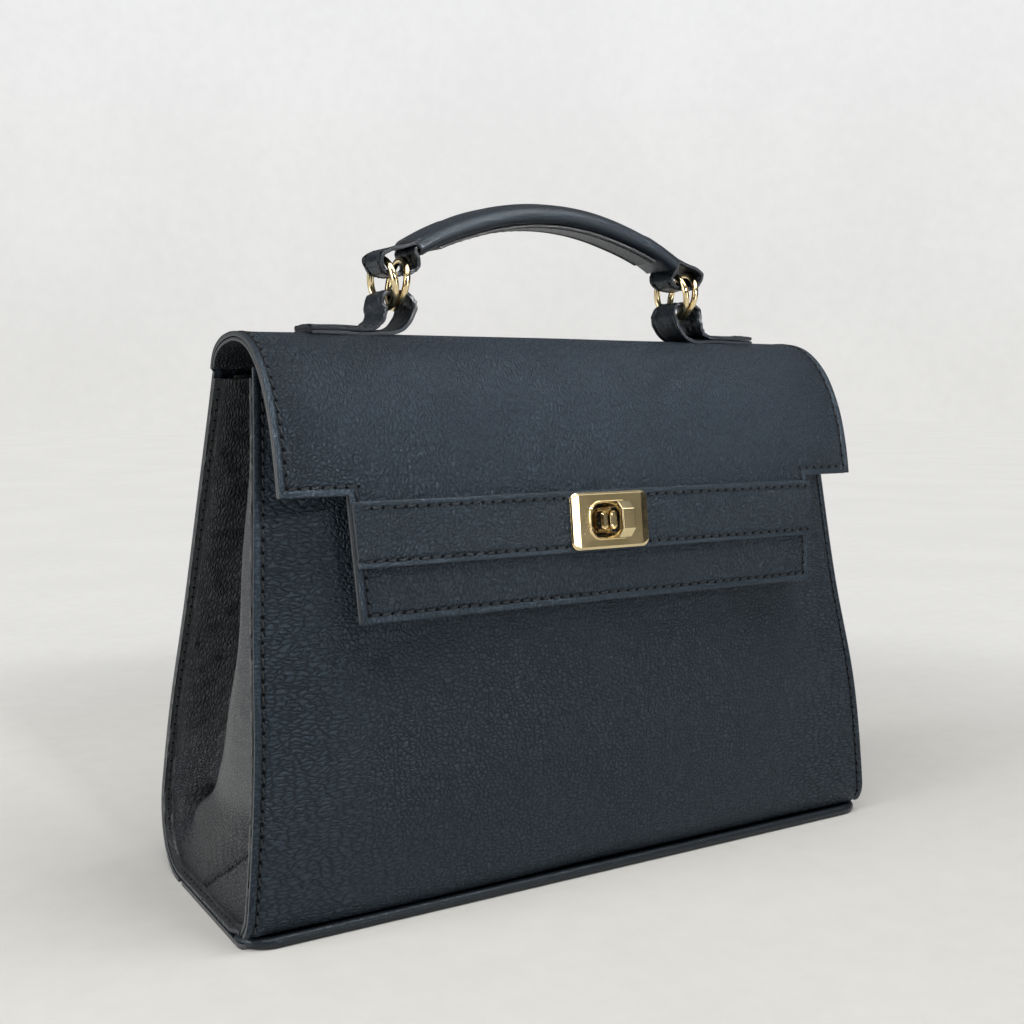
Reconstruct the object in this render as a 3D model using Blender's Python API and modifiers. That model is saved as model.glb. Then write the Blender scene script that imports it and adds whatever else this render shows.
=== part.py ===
"""A structured leather handbag: a stiff body with folded side gussets, a wrap-over flap with a
stitched band and a turn lock, and a padded top handle that hangs in two pairs of metal rings.

Metres, +Z up. The bag stands on z = 0, its front faces -Y, and the origin is under its middle.
"""

import math

import bmesh
import bpy
import numpy as np
from mathutils import Matrix, Vector

# Overall size of the body, seam to seam
BASE_WIDTH = 0.300
TOP_WIDTH = 0.265
BODY_HEIGHT = 0.203
BASE_DEPTH = 0.110
TOP_DEPTH = 0.044
TOP_LEAN = 0.006

# Sheet thicknesses and the gap that neighbouring pieces keep
LEATHER = 0.0018
GUSSET_LEATHER = 0.0014
FLAP_LEATHER = 0.0018
FLAP_BACKING = 0.0014
STIFFENER = 0.0008
LINING = 0.0009
GAP = 0.0003
LAYER_GAP = 0.0005
OVERRUN = 0.004

# Swell of the panels and the rolls at their lower edges
FRONT_SWELL = 0.0138
BACK_SWELL = 0.004
FRONT_ROLL = 0.014
BACK_ROLL = 0.030

# Gussets
SEAM_FLANGE = 0.0034
FOLD_DEPTH = 0.024
FOLD_FLOOR = 0.050
GUSSET_DROP = 0.004
CREASE_SLACK = 0.0008

# Base
BASE_LEATHER = 0.0020
WELT_RADIUS = 0.0021
BASE_CORNER = 0.012
BOARD_THICKNESS = 0.0018
BOARD_MARGIN = 0.006

# Linings, stiffeners and the pocket
STIFFENER_MARGIN = 0.006
LINING_MARGIN = 0.0075
LINING_SETBACK = 0.0015
POCKET_WIDTH = 0.130
POCKET_LOW = 0.075
POCKET_HIGH = 0.155
POCKET_LEATHER = 0.0010
POCKET_SLACK = 0.0006

# Flap
FLAP_WIDTH = 0.267
HINGE_GAP = 0.0009
FLAP_DROP = 0.0575
FLAP_REACH = 0.044
CROWN_HEIGHT = 0.216
CROWN_FORWARD = 0.010
TONGUE_WIDTH = 0.216
TONGUE_LENGTH = 0.0455
TONGUE_TILT = math.radians(6.9)
BAND_HEIGHT = 0.0235
BAND_BELOW_NOTCH = 0.0025
BAND_LEATHER = 0.0018

# Turn lock
PLATE_WIDTH = 0.0368
PLATE_HEIGHT = 0.0222
PLATE_THICKNESS = 0.0022
PLATE_CORNER = 0.0032
OPENING_WIDTH = 0.0186
OPENING_HEIGHT = 0.0132
BACK_PLATE_THICKNESS = 0.0006
LOCK_BASE_WIDTH = 0.0098
LOCK_BASE_HEIGHT = 0.0098
LOCK_BASE_THICKNESS = 0.0026
LOCK_STEM_RADIUS = 0.0021
WASHER_RADIUS = 0.0065
WASHER_THICKNESS = 0.0008
STAPLE_HEIGHT = 0.0142
STAPLE_WIDTH = 0.0060
STAPLE_METAL = 0.0023
STAPLE_PROUD = 0.0112
STAPLE_CORNER = 0.0032
PIVOT_RADIUS = 0.0014

# Handle, its rings and the leather loops that hold them
HANDLE_SPAN = 0.140
RING_HEIGHT = 0.0195
RING_RADIUS = 0.0109
RING_WIRE = 0.0011
RING_SPACING = 0.0056
LOOP_PITCH = 0.0028
STRAP_LEATHER = 0.0013
STRAP_WIDTH = 0.018
STRAP_PINCH = 0.0160
TAB_LENGTH = 0.036
LOOP_HALF_WIDTH = 0.0062
GRIP_SETBACK = 0.0115
GRIP_SPAN = HANDLE_SPAN - 2 * GRIP_SETBACK
GRIP_ARCH = 0.0163
GRIP_WIDTH = 0.0245
GRIP_THICKNESS = 0.0105
GRIP_SHELL = 0.0016
GRIP_BELOW_CROWN_TOP = 0.0535
UNDERSIDE_LEATHER = 0.0014
UNDERSIDE_INSET = 0.0018
END_SLEEVE = 0.016
GRIP_TUCK = 0.010

# Shapes along the height, as shares of the body's height from the base to the top
HEIGHT_SHARES = (0.0, 0.12, 0.30, 0.54, 0.79, 1.0)
DEPTH_SHARES = (1.0, 0.985, 0.89, 0.555, 0.26, 0.0)
SWELL_SHARES = (0.0, 0.08, 0.42, 0.88, 0.95, 0.20)
FOLD_SHARES = (0.0, 0.0, 0.35, 0.85, 1.0, 0.80)
WIDTH_POWER_SHARE = 1.12
NUDGE_SHARE = 0.0002
# The flap from its hinge up to the crown, and from the crown down to the notches,
# as shares of the distance back and up, then forward and down
RISE_SHARES = ((0.0, 0.0), (0.05, 0.25), (0.15, 0.52), (0.42, 0.82), (0.75, 0.965), (1.0, 1.0))
FALL_SHARES = ((0.0, 0.0), (0.355, 0.06), (0.595, 0.20), (0.81, 0.46), (0.955, 0.81), (1.0, 1.0))
# The gusset's section from the front seam to the back seam: place, and inward share
VALLEY_SHARES = ((0.0, 0.0), (0.13, -0.03), (0.26, 0.10), (0.40, 0.75), (0.50, 1.0),
                 (0.62, 0.80), (0.80, 0.33), (0.92, 0.08), (1.0, 0.0))

NEAR_BLACK = (0.012, 0.014, 0.018)
EDGE_GREY = (0.045, 0.045, 0.048)
LINING_BLACK = (0.020, 0.020, 0.022)
BOARD_GREY = (0.10, 0.10, 0.10)
PALE_GOLD = (0.83, 0.66, 0.36)


def start_scene():
    for old in list(bpy.data.objects):
        bpy.data.objects.remove(old, do_unlink=True)
    bag = bpy.data.collections.new("handbag")
    cutters = bpy.data.collections.new("cutters")
    for group in (bag, cutters):
        bpy.context.scene.collection.children.link(group)
    cutters.hide_render = True
    return bag, cutters


BAG, CUTTERS = start_scene()
PIVOTS = {}


def finish(name, colour, roughness, metallic=0.0):
    material = bpy.data.materials.new(name)
    material.use_nodes = True
    shader = material.node_tree.nodes["Principled BSDF"]
    shader.inputs["Base Color"].default_value = (*colour, 1.0)
    shader.inputs["Roughness"].default_value = roughness
    shader.inputs["Metallic"].default_value = metallic
    return material


GRAINED = finish("grained_leather", NEAR_BLACK, 0.45)
PAINTED_EDGE = finish("painted_edge_leather", EDGE_GREY, 0.40)
LINED = finish("lining_leather", LINING_BLACK, 0.80)
BOARD = finish("stiffening_board", BOARD_GREY, 0.90)
GOLD = finish("pale_gold_metal", PALE_GOLD, 0.15, 1.0)


def smooth_through(places, values, place):
    """A smooth curve through a few values: cubic pieces with the slopes of their neighbours."""
    places, values = np.asarray(places, float), np.asarray(values, float)
    slopes = np.gradient(values, places)
    place = float(np.clip(place, places[0], places[-1]))
    i = int(np.clip(np.searchsorted(places, place) - 1, 0, len(places) - 2))
    step = places[i + 1] - places[i]
    t = (place - places[i]) / step
    a = 2 * t**3 - 3 * t**2 + 1
    b = t**3 - 2 * t**2 + t
    c = -2 * t**3 + 3 * t**2
    d = t**3 - t**2
    return a * values[i] + b * step * slopes[i] + c * values[i + 1] + d * step * slopes[i + 1]


def keep(obj, material, parent=None):
    obj.data.materials.append(material)
    for group in list(obj.users_collection):
        group.objects.unlink(obj)
    BAG.objects.link(obj)
    if parent is not None:
        obj.parent = parent
        obj.matrix_parent_inverse = Matrix.Translation(-PIVOTS[parent.name])
    if obj.type == "MESH":
        obj.data.shade_smooth()
        obj.data.set_sharp_from_angle(angle=math.radians(35))
    return obj


def pivot_at(name, place, parent=None):
    """An empty on a joint's axis, at a place in the bag's frame."""
    empty = bpy.data.objects.new(name, None)
    empty.empty_display_size = RING_RADIUS
    BAG.objects.link(empty)
    PIVOTS[name] = Vector(place)
    empty.location = place
    if parent is not None:
        empty.parent = parent
        empty.location = PIVOTS[name] - PIVOTS[parent.name]
    return empty


def mesh_object(name, shape, material, parent=None):
    mesh = bpy.data.meshes.new(name)
    shape.to_mesh(mesh)
    shape.free()
    obj = bpy.data.objects.new(name, mesh)
    BAG.objects.link(obj)
    return keep(obj, material, parent)


def grid_shape(rows, skip=None):
    """Faces between rows of points; skip(i, j) leaves a cell out."""
    shape = bmesh.new()
    placed = [[shape.verts.new(point) for point in row] for row in rows]
    for i in range(len(rows) - 1):
        for j in range(len(rows[0]) - 1):
            if skip is not None and skip(i, j):
                continue
            corners = (placed[i][j], placed[i][j + 1], placed[i + 1][j + 1], placed[i + 1][j])
            shape.faces.new(corners)
    loose = [point for point in shape.verts if not point.link_faces]
    bmesh.ops.delete(shape, geom=loose, context="VERTS")
    return shape


def thicken(obj, thickness):
    """Gives an open sheet its thickness, away from the side that its normals face."""
    solid = obj.modifiers.new("thickness", "SOLIDIFY")
    solid.thickness = thickness
    solid.offset = -1.0
    solid.use_even_offset = True
    return obj


def along_normal(surface, u, v, depth):
    """The point of a surface, moved inwards by depth."""
    step = NUDGE_SHARE
    across = surface(u + step, v) - surface(u - step, v)
    up = surface(u, v + step) - surface(u, v - step)
    return surface(u, v) - across.cross(up).normalized() * depth


def cut(obj, cutter):
    cutter.hide_render = True
    cutter.display_type = "WIRE"
    for group in list(cutter.users_collection):
        group.objects.unlink(cutter)
    CUTTERS.objects.link(cutter)
    hole = obj.modifiers.new("cut_" + cutter.name, "BOOLEAN")
    hole.operation = "DIFFERENCE"
    hole.solver = "EXACT"
    hole.object = cutter


# Shape of the body

def half_width(z):
    share = float(np.clip(z / BODY_HEIGHT, 0, 1))
    return TOP_WIDTH / 2 + (BASE_WIDTH - TOP_WIDTH) / 2 * (1 - share) ** WIDTH_POWER_SHARE


def edge_y(side, z):
    """Where the panel's edge lies at a height: side is -1 for the front and 1 for the back."""
    share = float(np.clip(z / BODY_HEIGHT, 0, 1))
    half = TOP_DEPTH / 2 + (BASE_DEPTH - TOP_DEPTH) / 2 * smooth_through(
        HEIGHT_SHARES, DEPTH_SHARES, share)
    return side * half - TOP_LEAN * share**2


def roll_radius(side):
    return FRONT_ROLL if side < 0 else BACK_ROLL


def panel_line(side, v):
    """(y, z) on the panel's edge: v from -1 to 0 is the roll at the base, 0 to 1 the rise."""
    roll = roll_radius(side)
    if v < 0:
        angle = -v * math.pi / 2
        y = edge_y(side, roll) - side * roll * (1 - math.cos(angle))
        return y, roll * (1 - math.sin(angle))
    z = roll + (BODY_HEIGHT - roll) * v
    return edge_y(side, z), z


def panel_surface(side):
    swell = FRONT_SWELL if side < 0 else BACK_SWELL

    def surface(u, v):
        y, z = panel_line(side, v)
        bulge = swell * smooth_through(HEIGHT_SHARES, SWELL_SHARES, z / BODY_HEIGHT)
        return Vector((-side * u * half_width(z), y + side * bulge * (1 - u * u), z))

    return surface


def roll_at(side, z):
    """The v at which the roll reaches a height."""
    roll = roll_radius(side)
    return -math.asin(1 - z / roll) / (math.pi / 2)


def rise_at(side, z):
    roll = roll_radius(side)
    return (z - roll) / (BODY_HEIGHT - roll)


def panel_sheet(name, side, depth, thickness, margin, low_v, high_v, columns, material):
    """One layer of a panel, between two places up it, at a depth under its outer face."""
    surface = panel_surface(side)
    rolled = list(np.linspace(low_v, 0, ROLL_STEPS + 1))[:-1] if low_v < 0 else []
    risen = [v for v in np.linspace(0, 1, RISE_STEPS + 1) if v < high_v - ROW_JOIN] + [high_v]
    rows = []
    for v in rolled + risen:
        z = panel_line(side, v)[1]
        reach = 1 - margin / half_width(z)
        rows.append([along_normal(surface, u * reach, v, depth)
                     for u in np.linspace(-1, 1, columns)])
    return thicken(mesh_object(name, grid_shape(rows), material), thickness)


ROLL_STEPS = 6
RISE_STEPS = 16
ROW_JOIN = 0.25 / RISE_STEPS
FRONT_BOTTOM = 2 * WELT_RADIUS + GAP
STIFFENER_DEPTH = LEATHER + LAYER_GAP
LINING_DEPTH = STIFFENER_DEPTH + STIFFENER + LAYER_GAP
PANEL_DEPTH = LINING_DEPTH + LINING
BASE_TOP = BASE_LEATHER
BOARD_TOP = BASE_TOP + GAP + BOARD_THICKNESS
FLOOR_TOP = BOARD_TOP + GAP + LINING


def make_panels():
    columns = 11
    front = panel_sheet("front_panel", -1, 0, LEATHER, 0, roll_at(-1, FRONT_BOTTOM), 1,
                        columns, GRAINED)
    back = panel_sheet("back_panel", 1, 0, LEATHER, 0, -1, 1, columns, GRAINED)
    stiffeners = []
    for name, side in (("front_stiffener", -1), ("back_stiffener", 1)):
        stiffeners.append(panel_sheet(
            name, side, STIFFENER_DEPTH, STIFFENER, STIFFENER_MARGIN, 0,
            rise_at(side, BODY_HEIGHT - STIFFENER_MARGIN), columns, BOARD))
    linings = []
    for name, side in (("front_lining", -1), ("back_lining", 1)):
        linings.append(panel_sheet(
            name, side, LINING_DEPTH, LINING, LINING_MARGIN, 0,
            rise_at(side, BODY_HEIGHT - LINING_SETBACK), columns, LINED))
    return front, back, stiffeners, linings


def make_pocket():
    """An open pocket sewn on the back lining."""
    surface = panel_surface(1)
    depth = PANEL_DEPTH + POCKET_SLACK
    rows = []
    for z in np.linspace(POCKET_LOW, POCKET_HIGH, 5):
        reach = POCKET_WIDTH / 2 / half_width(z)
        rows.append([along_normal(surface, u * reach, rise_at(1, z), depth)
                     for u in np.linspace(-1, 1, 7)])
    thicken(mesh_object("slip_pocket", grid_shape(rows), LINED), POCKET_LEATHER)


# Gussets

def valley(share):
    return smooth_through([p for p, _ in VALLEY_SHARES], [d for _, d in VALLEY_SHARES], share)


def edge_table(side, depth):
    """(heights, y) of the panel's side edge at a depth under its outer face."""
    surface = panel_surface(side)
    points = [along_normal(surface, 1, v, depth) for v in np.linspace(-1 + ROW_JOIN, 1, 90)]
    return [p.z for p in points], [p.y for p in points]


def gusset_surface(depth):
    """The gusset's outer face on the left of the bag. Its first number runs from the front seam
    to the back seam, at a depth under the panels' faces, and its second is the height."""
    front_z, front_y = edge_table(-1, depth)
    back_z, back_y = edge_table(1, depth)

    def surface(across, z):
        front = float(np.interp(z, front_z, front_y))
        back = float(np.interp(z, back_z, back_y))
        fold = FOLD_DEPTH * smooth_through(HEIGHT_SHARES, FOLD_SHARES, z / BODY_HEIGHT)
        x = -half_width(z) + SEAM_FLANGE + fold * valley(across)
        return Vector((x, front + (back - front) * across, z))

    return surface


def wall_limit(side, z):
    """Where the panel's outer face runs at a height, down through its roll."""
    roll = roll_radius(side)
    if z >= roll:
        return edge_y(side, z)
    drop = roll - z
    return edge_y(side, roll) - side * (roll - math.sqrt(max(roll**2 - drop**2, 0)))


def mirrored(shape):
    for point in shape.verts:
        point.co.x = -point.co.x
    bmesh.ops.reverse_faces(shape, faces=shape.faces)
    return shape


def gusset_heights(low, high):
    heights = list(low + (FOLD_FLOOR - low) * np.linspace(0, 1, 6)**1.5)
    return heights + list(np.linspace(FOLD_FLOOR, high, 9))[1:]


GUSSET_COLUMNS = 14
WELT_COLUMNS = 2


def make_gussets():
    low = BASE_TOP + GAP + GUSSET_LEATHER
    high = BODY_HEIGHT - GUSSET_DROP
    surface = gusset_surface(LEATHER + LAYER_GAP + GUSSET_LEATHER)
    across = np.linspace(0, 1, GUSSET_COLUMNS)[::-1]
    for name, turn in (("left_gusset", False), ("right_gusset", True)):
        rows = [[surface(a, z) for a in across] for z in gusset_heights(low, high)]
        for point in rows[0][-WELT_COLUMNS:]:
            point.z += FRONT_BOTTOM - BASE_TOP
        shape = grid_shape(rows)
        rim = [edge for edge in shape.edges if edge.is_boundary
               and min(point.co.z for point in edge.verts) < high - GAP]
        pulled = bmesh.ops.extrude_edge_only(shape, edges=rim)["geom"]
        for item in pulled:
            if isinstance(item, bmesh.types.BMVert):
                item.co.x -= SEAM_FLANGE
        shape = mirrored(shape) if turn else shape
        thicken(mesh_object(name, shape, GRAINED), GUSSET_LEATHER)

    lining_low = FLOOR_TOP + GAP
    surface = gusset_surface(PANEL_DEPTH + GAP)
    for name, turn in (("left_gusset_lining", False), ("right_gusset_lining", True)):
        rows = [[lining_point(surface, a, z) for a in across]
                for z in gusset_heights(lining_low, high - GUSSET_DROP)]
        shape = grid_shape(rows)
        shape = mirrored(shape) if turn else shape
        thicken(mesh_object(name, shape, LINED), LINING)


def lining_point(surface, across, z):
    """A point of the gusset's lining: the gusset's face, moved in by its own leather."""
    share = float(np.clip(across, ROW_JOIN, 1 - ROW_JOIN))
    step = NUDGE_SHARE
    along = surface(share + step, z) - surface(share - step, z)
    rise = step * BODY_HEIGHT
    up = surface(share, z + rise) - surface(share, z - rise)
    inward = up.cross(along).normalized() * -(GUSSET_LEATHER + GAP + CREASE_SLACK)
    moved = surface(across, z) + inward
    moved.y = min(max(moved.y, surface(0, z).y), surface(1, z).y)
    moved.z = z
    return moved


# Base

def flat_outline(name, corners, thickness, bottom, material):
    """A flat sheet with the outline given, its underside at a height."""
    shape = bmesh.new()
    placed = [shape.verts.new((x, y, bottom)) for x, y in corners]
    face = shape.faces.new(placed)
    grown = bmesh.ops.extrude_face_region(shape, geom=[face])["geom"]
    for item in grown:
        if isinstance(item, bmesh.types.BMVert):
            item.co.z += thickness
    bmesh.ops.recalc_face_normals(shape, faces=shape.faces)
    return mesh_object(name, shape, material)


def rounded_rectangle(half_x, low_y, high_y, radius, steps=5):
    corners = []
    for centre_x, centre_y, start in ((half_x - radius, low_y + radius, -0.5),
                                      (half_x - radius, high_y - radius, 0.0),
                                      (-half_x + radius, high_y - radius, 0.5),
                                      (-half_x + radius, low_y + radius, 1.0)):
        for k in range(steps + 1):
            angle = math.pi * (start + 0.5 * k / steps)
            corners.append((centre_x + radius * math.cos(angle),
                            centre_y + radius * math.sin(angle)))
    return corners


def make_base():
    welt_y = wall_limit(-1, FRONT_ROLL)
    base_back = wall_limit(1, 0) - GAP
    half = BASE_WIDTH / 2
    turn = BASE_CORNER - WELT_RADIUS
    centre_y = welt_y + WELT_RADIUS
    bend_y = centre_y + turn
    bend = turn - WELT_RADIUS - GAP
    corners = []
    for sign in (-1, 1):
        arc = [(sign * (half - BASE_CORNER + bend * math.cos(a)), bend_y - bend * math.sin(a))
               for a in np.linspace(0, math.pi / 2, 6)]
        side = [(sign * half, base_back), (sign * half, bend_y + WELT_RADIUS / 2),
                (sign * (half - BASE_CORNER + bend), bend_y + WELT_RADIUS / 2)]
        corners += side + arc if sign < 0 else (side + arc)[::-1]
    flat_outline("base_panel", corners, BASE_LEATHER, 0, GRAINED)
    inner = half - SEAM_FLANGE - GUSSET_LEATHER - BOARD_MARGIN
    board_front = wall_limit(-1, BASE_TOP) + LEATHER + GAP + BOARD_MARGIN
    board_back = wall_limit(1, BASE_TOP) - LEATHER - GAP - BOARD_MARGIN
    flat_outline("base_board", rounded_rectangle(inner, board_front, board_back, BASE_CORNER / 2),
                 BOARD_THICKNESS, BASE_TOP + GAP, BOARD)
    flat_outline("base_lining", rounded_rectangle(inner, board_front, board_back, BASE_CORNER / 2),
                 LINING, BOARD_TOP + GAP, LINED)

    line = bpy.data.curves.new("base_welt", "CURVE")
    line.dimensions = "3D"
    line.bevel_depth = WELT_RADIUS
    line.bevel_resolution = 2
    line.use_fill_caps = True
    reach = half - WELT_RADIUS
    route = []
    for sign in (-1, 1):
        bend = [(sign * (reach - turn + turn * math.cos(a)), centre_y + turn - turn * math.sin(a))
                for a in np.linspace(0, math.pi / 2, 6)]
        route += bend if sign < 0 else bend[::-1]
    spline = line.splines.new("POLY")
    spline.points.add(len(route) - 1)
    for point, (x, y) in zip(spline.points, route):
        point.co = (x, y, WELT_RADIUS, 1)
    welt = bpy.data.objects.new("base_welt", line)
    BAG.objects.link(welt)
    keep(welt, PAINTED_EDGE)


# Flap

HINGE = Vector((0, edge_y(1, BODY_HEIGHT), BODY_HEIGHT))
CROWN = Vector((0, -CROWN_FORWARD, CROWN_HEIGHT))
NOTCH = Vector((0, CROWN.y - FLAP_REACH, CROWN.z - FLAP_DROP))
TONGUE_DOWN = Vector((0, -math.sin(TONGUE_TILT), -math.cos(TONGUE_TILT)))
LOCK_OUT = Vector((0, -math.cos(TONGUE_TILT), math.sin(TONGUE_TILT)))


def flap_line():
    """Points of the flap's outer face from the hinge, over the crown, to the tongue's end."""
    points = [Vector((0, HINGE.y + (CROWN.y - HINGE.y) * b, HINGE.z + (CROWN.z - HINGE.z) * r))
              for b, r in RISE_SHARES]
    points += [Vector((0, CROWN.y - FLAP_REACH * f, CROWN.z - FLAP_DROP * d))
               for f, d in FALL_SHARES[1:]]
    points += [NOTCH + TONGUE_DOWN * TONGUE_LENGTH * share for share in (0.5, 1.0)]
    return points


FLAP_POINTS = flap_line()
FLAP_PLACES = np.concatenate(([0.0], np.cumsum(
    [(b - a).length for a, b in zip(FLAP_POINTS, FLAP_POINTS[1:])])))
FLAP_LENGTH = float(FLAP_PLACES[-1])
NOTCH_PLACE = FLAP_LENGTH - TONGUE_LENGTH


def flap_surface(x, place):
    """The flap's outer face: place is the distance along it from the hinge."""
    y = smooth_through(FLAP_PLACES, [p.y for p in FLAP_POINTS], place)
    z = smooth_through(FLAP_PLACES, [p.z for p in FLAP_POINTS], place)
    return Vector((x, y, z))


def flap_point(x, place, depth):
    """A point at a depth under the flap's outer face."""
    step = NUDGE_SHARE * FLAP_LENGTH
    low = max(place - step, 0)
    high = min(place + step, FLAP_LENGTH)
    along = (flap_surface(0, high) - flap_surface(0, low)).normalized()
    inward = Vector((0, -along.z, along.y))
    return flap_surface(x, place) + inward * depth


def flap_sheet(name, depth, thickness, hinge):
    columns = [-FLAP_WIDTH / 2, -TONGUE_WIDTH / 2, -TONGUE_WIDTH / 6, TONGUE_WIDTH / 6,
               TONGUE_WIDTH / 2, FLAP_WIDTH / 2]
    arch = list(np.linspace(HINGE_GAP, NOTCH_PLACE, 19))
    tongue = list(np.linspace(NOTCH_PLACE, FLAP_LENGTH, 3))[1:]
    rows = [[flap_point(x, place, depth) for x in columns] for place in arch + tongue]
    last = len(columns) - 2

    def in_notch(i, j):
        return i >= len(arch) - 1 and j in (0, last)

    sheet = mesh_object(name, grid_shape(rows, in_notch), GRAINED, hinge)
    bmesh_flip(sheet)
    return thicken(sheet, thickness)


def bmesh_flip(obj):
    shape = bmesh.new()
    shape.from_mesh(obj.data)
    bmesh.ops.reverse_faces(shape, faces=shape.faces)
    shape.to_mesh(obj.data)
    shape.free()


LOCK_PLACE = NOTCH_PLACE + BAND_BELOW_NOTCH + BAND_HEIGHT / 2
LOCK_FACE = flap_surface(0, LOCK_PLACE)
LOCK_TURN = Matrix.Rotation(-TONGUE_TILT, 4, "X")


def lock_frame(out):
    """Places a piece of the lock, modelled with -Y outwards, at a distance out of the flap."""
    return Matrix.Translation(LOCK_FACE + LOCK_OUT * out) @ LOCK_TURN


def slab(name, width, height, corner, back, front, material, parent=None, steps=5):
    """A flat piece of the lock with rounded corners, between two distances out of the flap."""
    corners = rounded_rectangle(width / 2, -height / 2, height / 2, corner, steps)
    shape = bmesh.new()
    face = shape.faces.new([shape.verts.new((x, 0, z)) for x, z in corners])
    grown = bmesh.ops.extrude_face_region(shape, geom=[face])["geom"]
    for item in grown:
        if isinstance(item, bmesh.types.BMVert):
            item.co.y -= front - back
    bmesh.ops.recalc_face_normals(shape, faces=shape.faces)
    bmesh.ops.transform(shape, matrix=lock_frame(back), verts=shape.verts)
    return mesh_object(name, shape, material, parent)


def drum(name, radius, back, front, material, segments=20):
    shape = bmesh.new()
    bmesh.ops.create_cone(shape, cap_ends=True, segments=segments, radius1=radius,
                          radius2=radius, depth=front - back)
    bmesh.ops.rotate(shape, verts=shape.verts, matrix=Matrix.Rotation(math.pi / 2, 3, "X"))
    middle = lock_frame((front + back) / 2)
    bmesh.ops.transform(shape, matrix=middle, verts=shape.verts)
    return mesh_object(name, shape, material)


BAND_FACE = GAP + BAND_LEATHER
PLATE_FACE = BAND_FACE + GAP + PLATE_THICKNESS
FLAP_INSIDE = -(FLAP_LEATHER + GAP + FLAP_BACKING)
BACK_PLATE_INSIDE = FLAP_INSIDE - GAP - BACK_PLATE_THICKNESS


def make_flap(hinge):
    outer = flap_sheet("flap_outer", 0, FLAP_LEATHER, hinge)
    lining = flap_sheet("flap_lining", FLAP_LEATHER + GAP, FLAP_BACKING, hinge)

    high = NOTCH_PLACE + BAND_BELOW_NOTCH
    rows = [[flap_point(x, place, -BAND_FACE) for x in np.linspace(-1, 1, 4) * TONGUE_WIDTH / 2]
            for place in (high, high + BAND_HEIGHT / 2, high + BAND_HEIGHT)]
    band = mesh_object("flap_band", grid_shape(rows), GRAINED, hinge)
    bmesh_flip(band)
    thicken(band, BAND_LEATHER)

    slot = slab("lock_slot", OPENING_WIDTH, OPENING_HEIGHT, OPENING_HEIGHT / 3,
                FLAP_INSIDE - OVERRUN, PLATE_FACE + OVERRUN, GOLD)
    for sheet in (outer, lining, band):
        cut(sheet, slot)
    plate = slab("lock_plate", PLATE_WIDTH, PLATE_HEIGHT, PLATE_CORNER,
                 BAND_FACE + GAP, PLATE_FACE, GOLD, hinge)
    back_plate = slab("lock_back_plate", PLATE_WIDTH - 2 * PLATE_CORNER,
                      PLATE_HEIGHT - PLATE_CORNER, PLATE_CORNER,
                      BACK_PLATE_INSIDE, FLAP_INSIDE - GAP, GOLD, hinge)
    cut(plate, slot)
    cut(back_plate, slot)


# Turn lock on the front panel

def front_face_out():
    """How far the front panel's face lies from the flap's outer face, along the lock's axis."""
    surface = panel_surface(-1)
    best = min((abs((surface(0, v) - LOCK_FACE).dot(Vector((0, LOCK_OUT.z, -LOCK_OUT.y)))), v)
               for v in np.linspace(0.4, 0.9, 501))[1]
    return (surface(0, best) - LOCK_FACE).dot(LOCK_OUT)


def make_lock(front, stiffener, lining):
    face = front_face_out()
    base_back = face + GAP
    base_front = base_back + LOCK_BASE_THICKNESS
    base = slab("lock_base", LOCK_BASE_WIDTH, LOCK_BASE_HEIGHT, LOCK_BASE_WIDTH / 4,
                base_back, base_front, GOLD)
    inside = face - PANEL_DEPTH - 2 * GAP
    stem = drum("lock_stem_join", LOCK_STEM_RADIUS, inside - WASHER_THICKNESS,
                base_back + LOCK_BASE_THICKNESS / 2, GOLD)
    join = base.modifiers.new("stem", "BOOLEAN")
    join.operation = "UNION"
    join.solver = "EXACT"
    join.object = stem
    stem.hide_render = True
    stem.display_type = "WIRE"
    BAG.objects.unlink(stem)
    CUTTERS.objects.link(stem)

    passage = drum("lock_passage", LOCK_STEM_RADIUS + GAP, inside - OVERRUN,
                   base_back + LOCK_BASE_THICKNESS / 4, GOLD)
    passage_through = drum("leather_passage", LOCK_STEM_RADIUS + GAP, inside - OVERRUN,
                           face + OVERRUN, GOLD)
    for sheet in (front, stiffener, lining):
        cut(sheet, passage_through)
    washer = drum("lock_washer", WASHER_RADIUS, inside - WASHER_THICKNESS, inside, GOLD)
    cut(washer, passage)

    socket = drum("pivot_socket", PIVOT_RADIUS + GAP, base_back + LOCK_BASE_THICKNESS / 4,
                  base_front + OVERRUN, GOLD)
    cut(base, socket)
    make_staple(base_back + LOCK_BASE_THICKNESS / 4 + GAP, PLATE_FACE + GAP)


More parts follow.
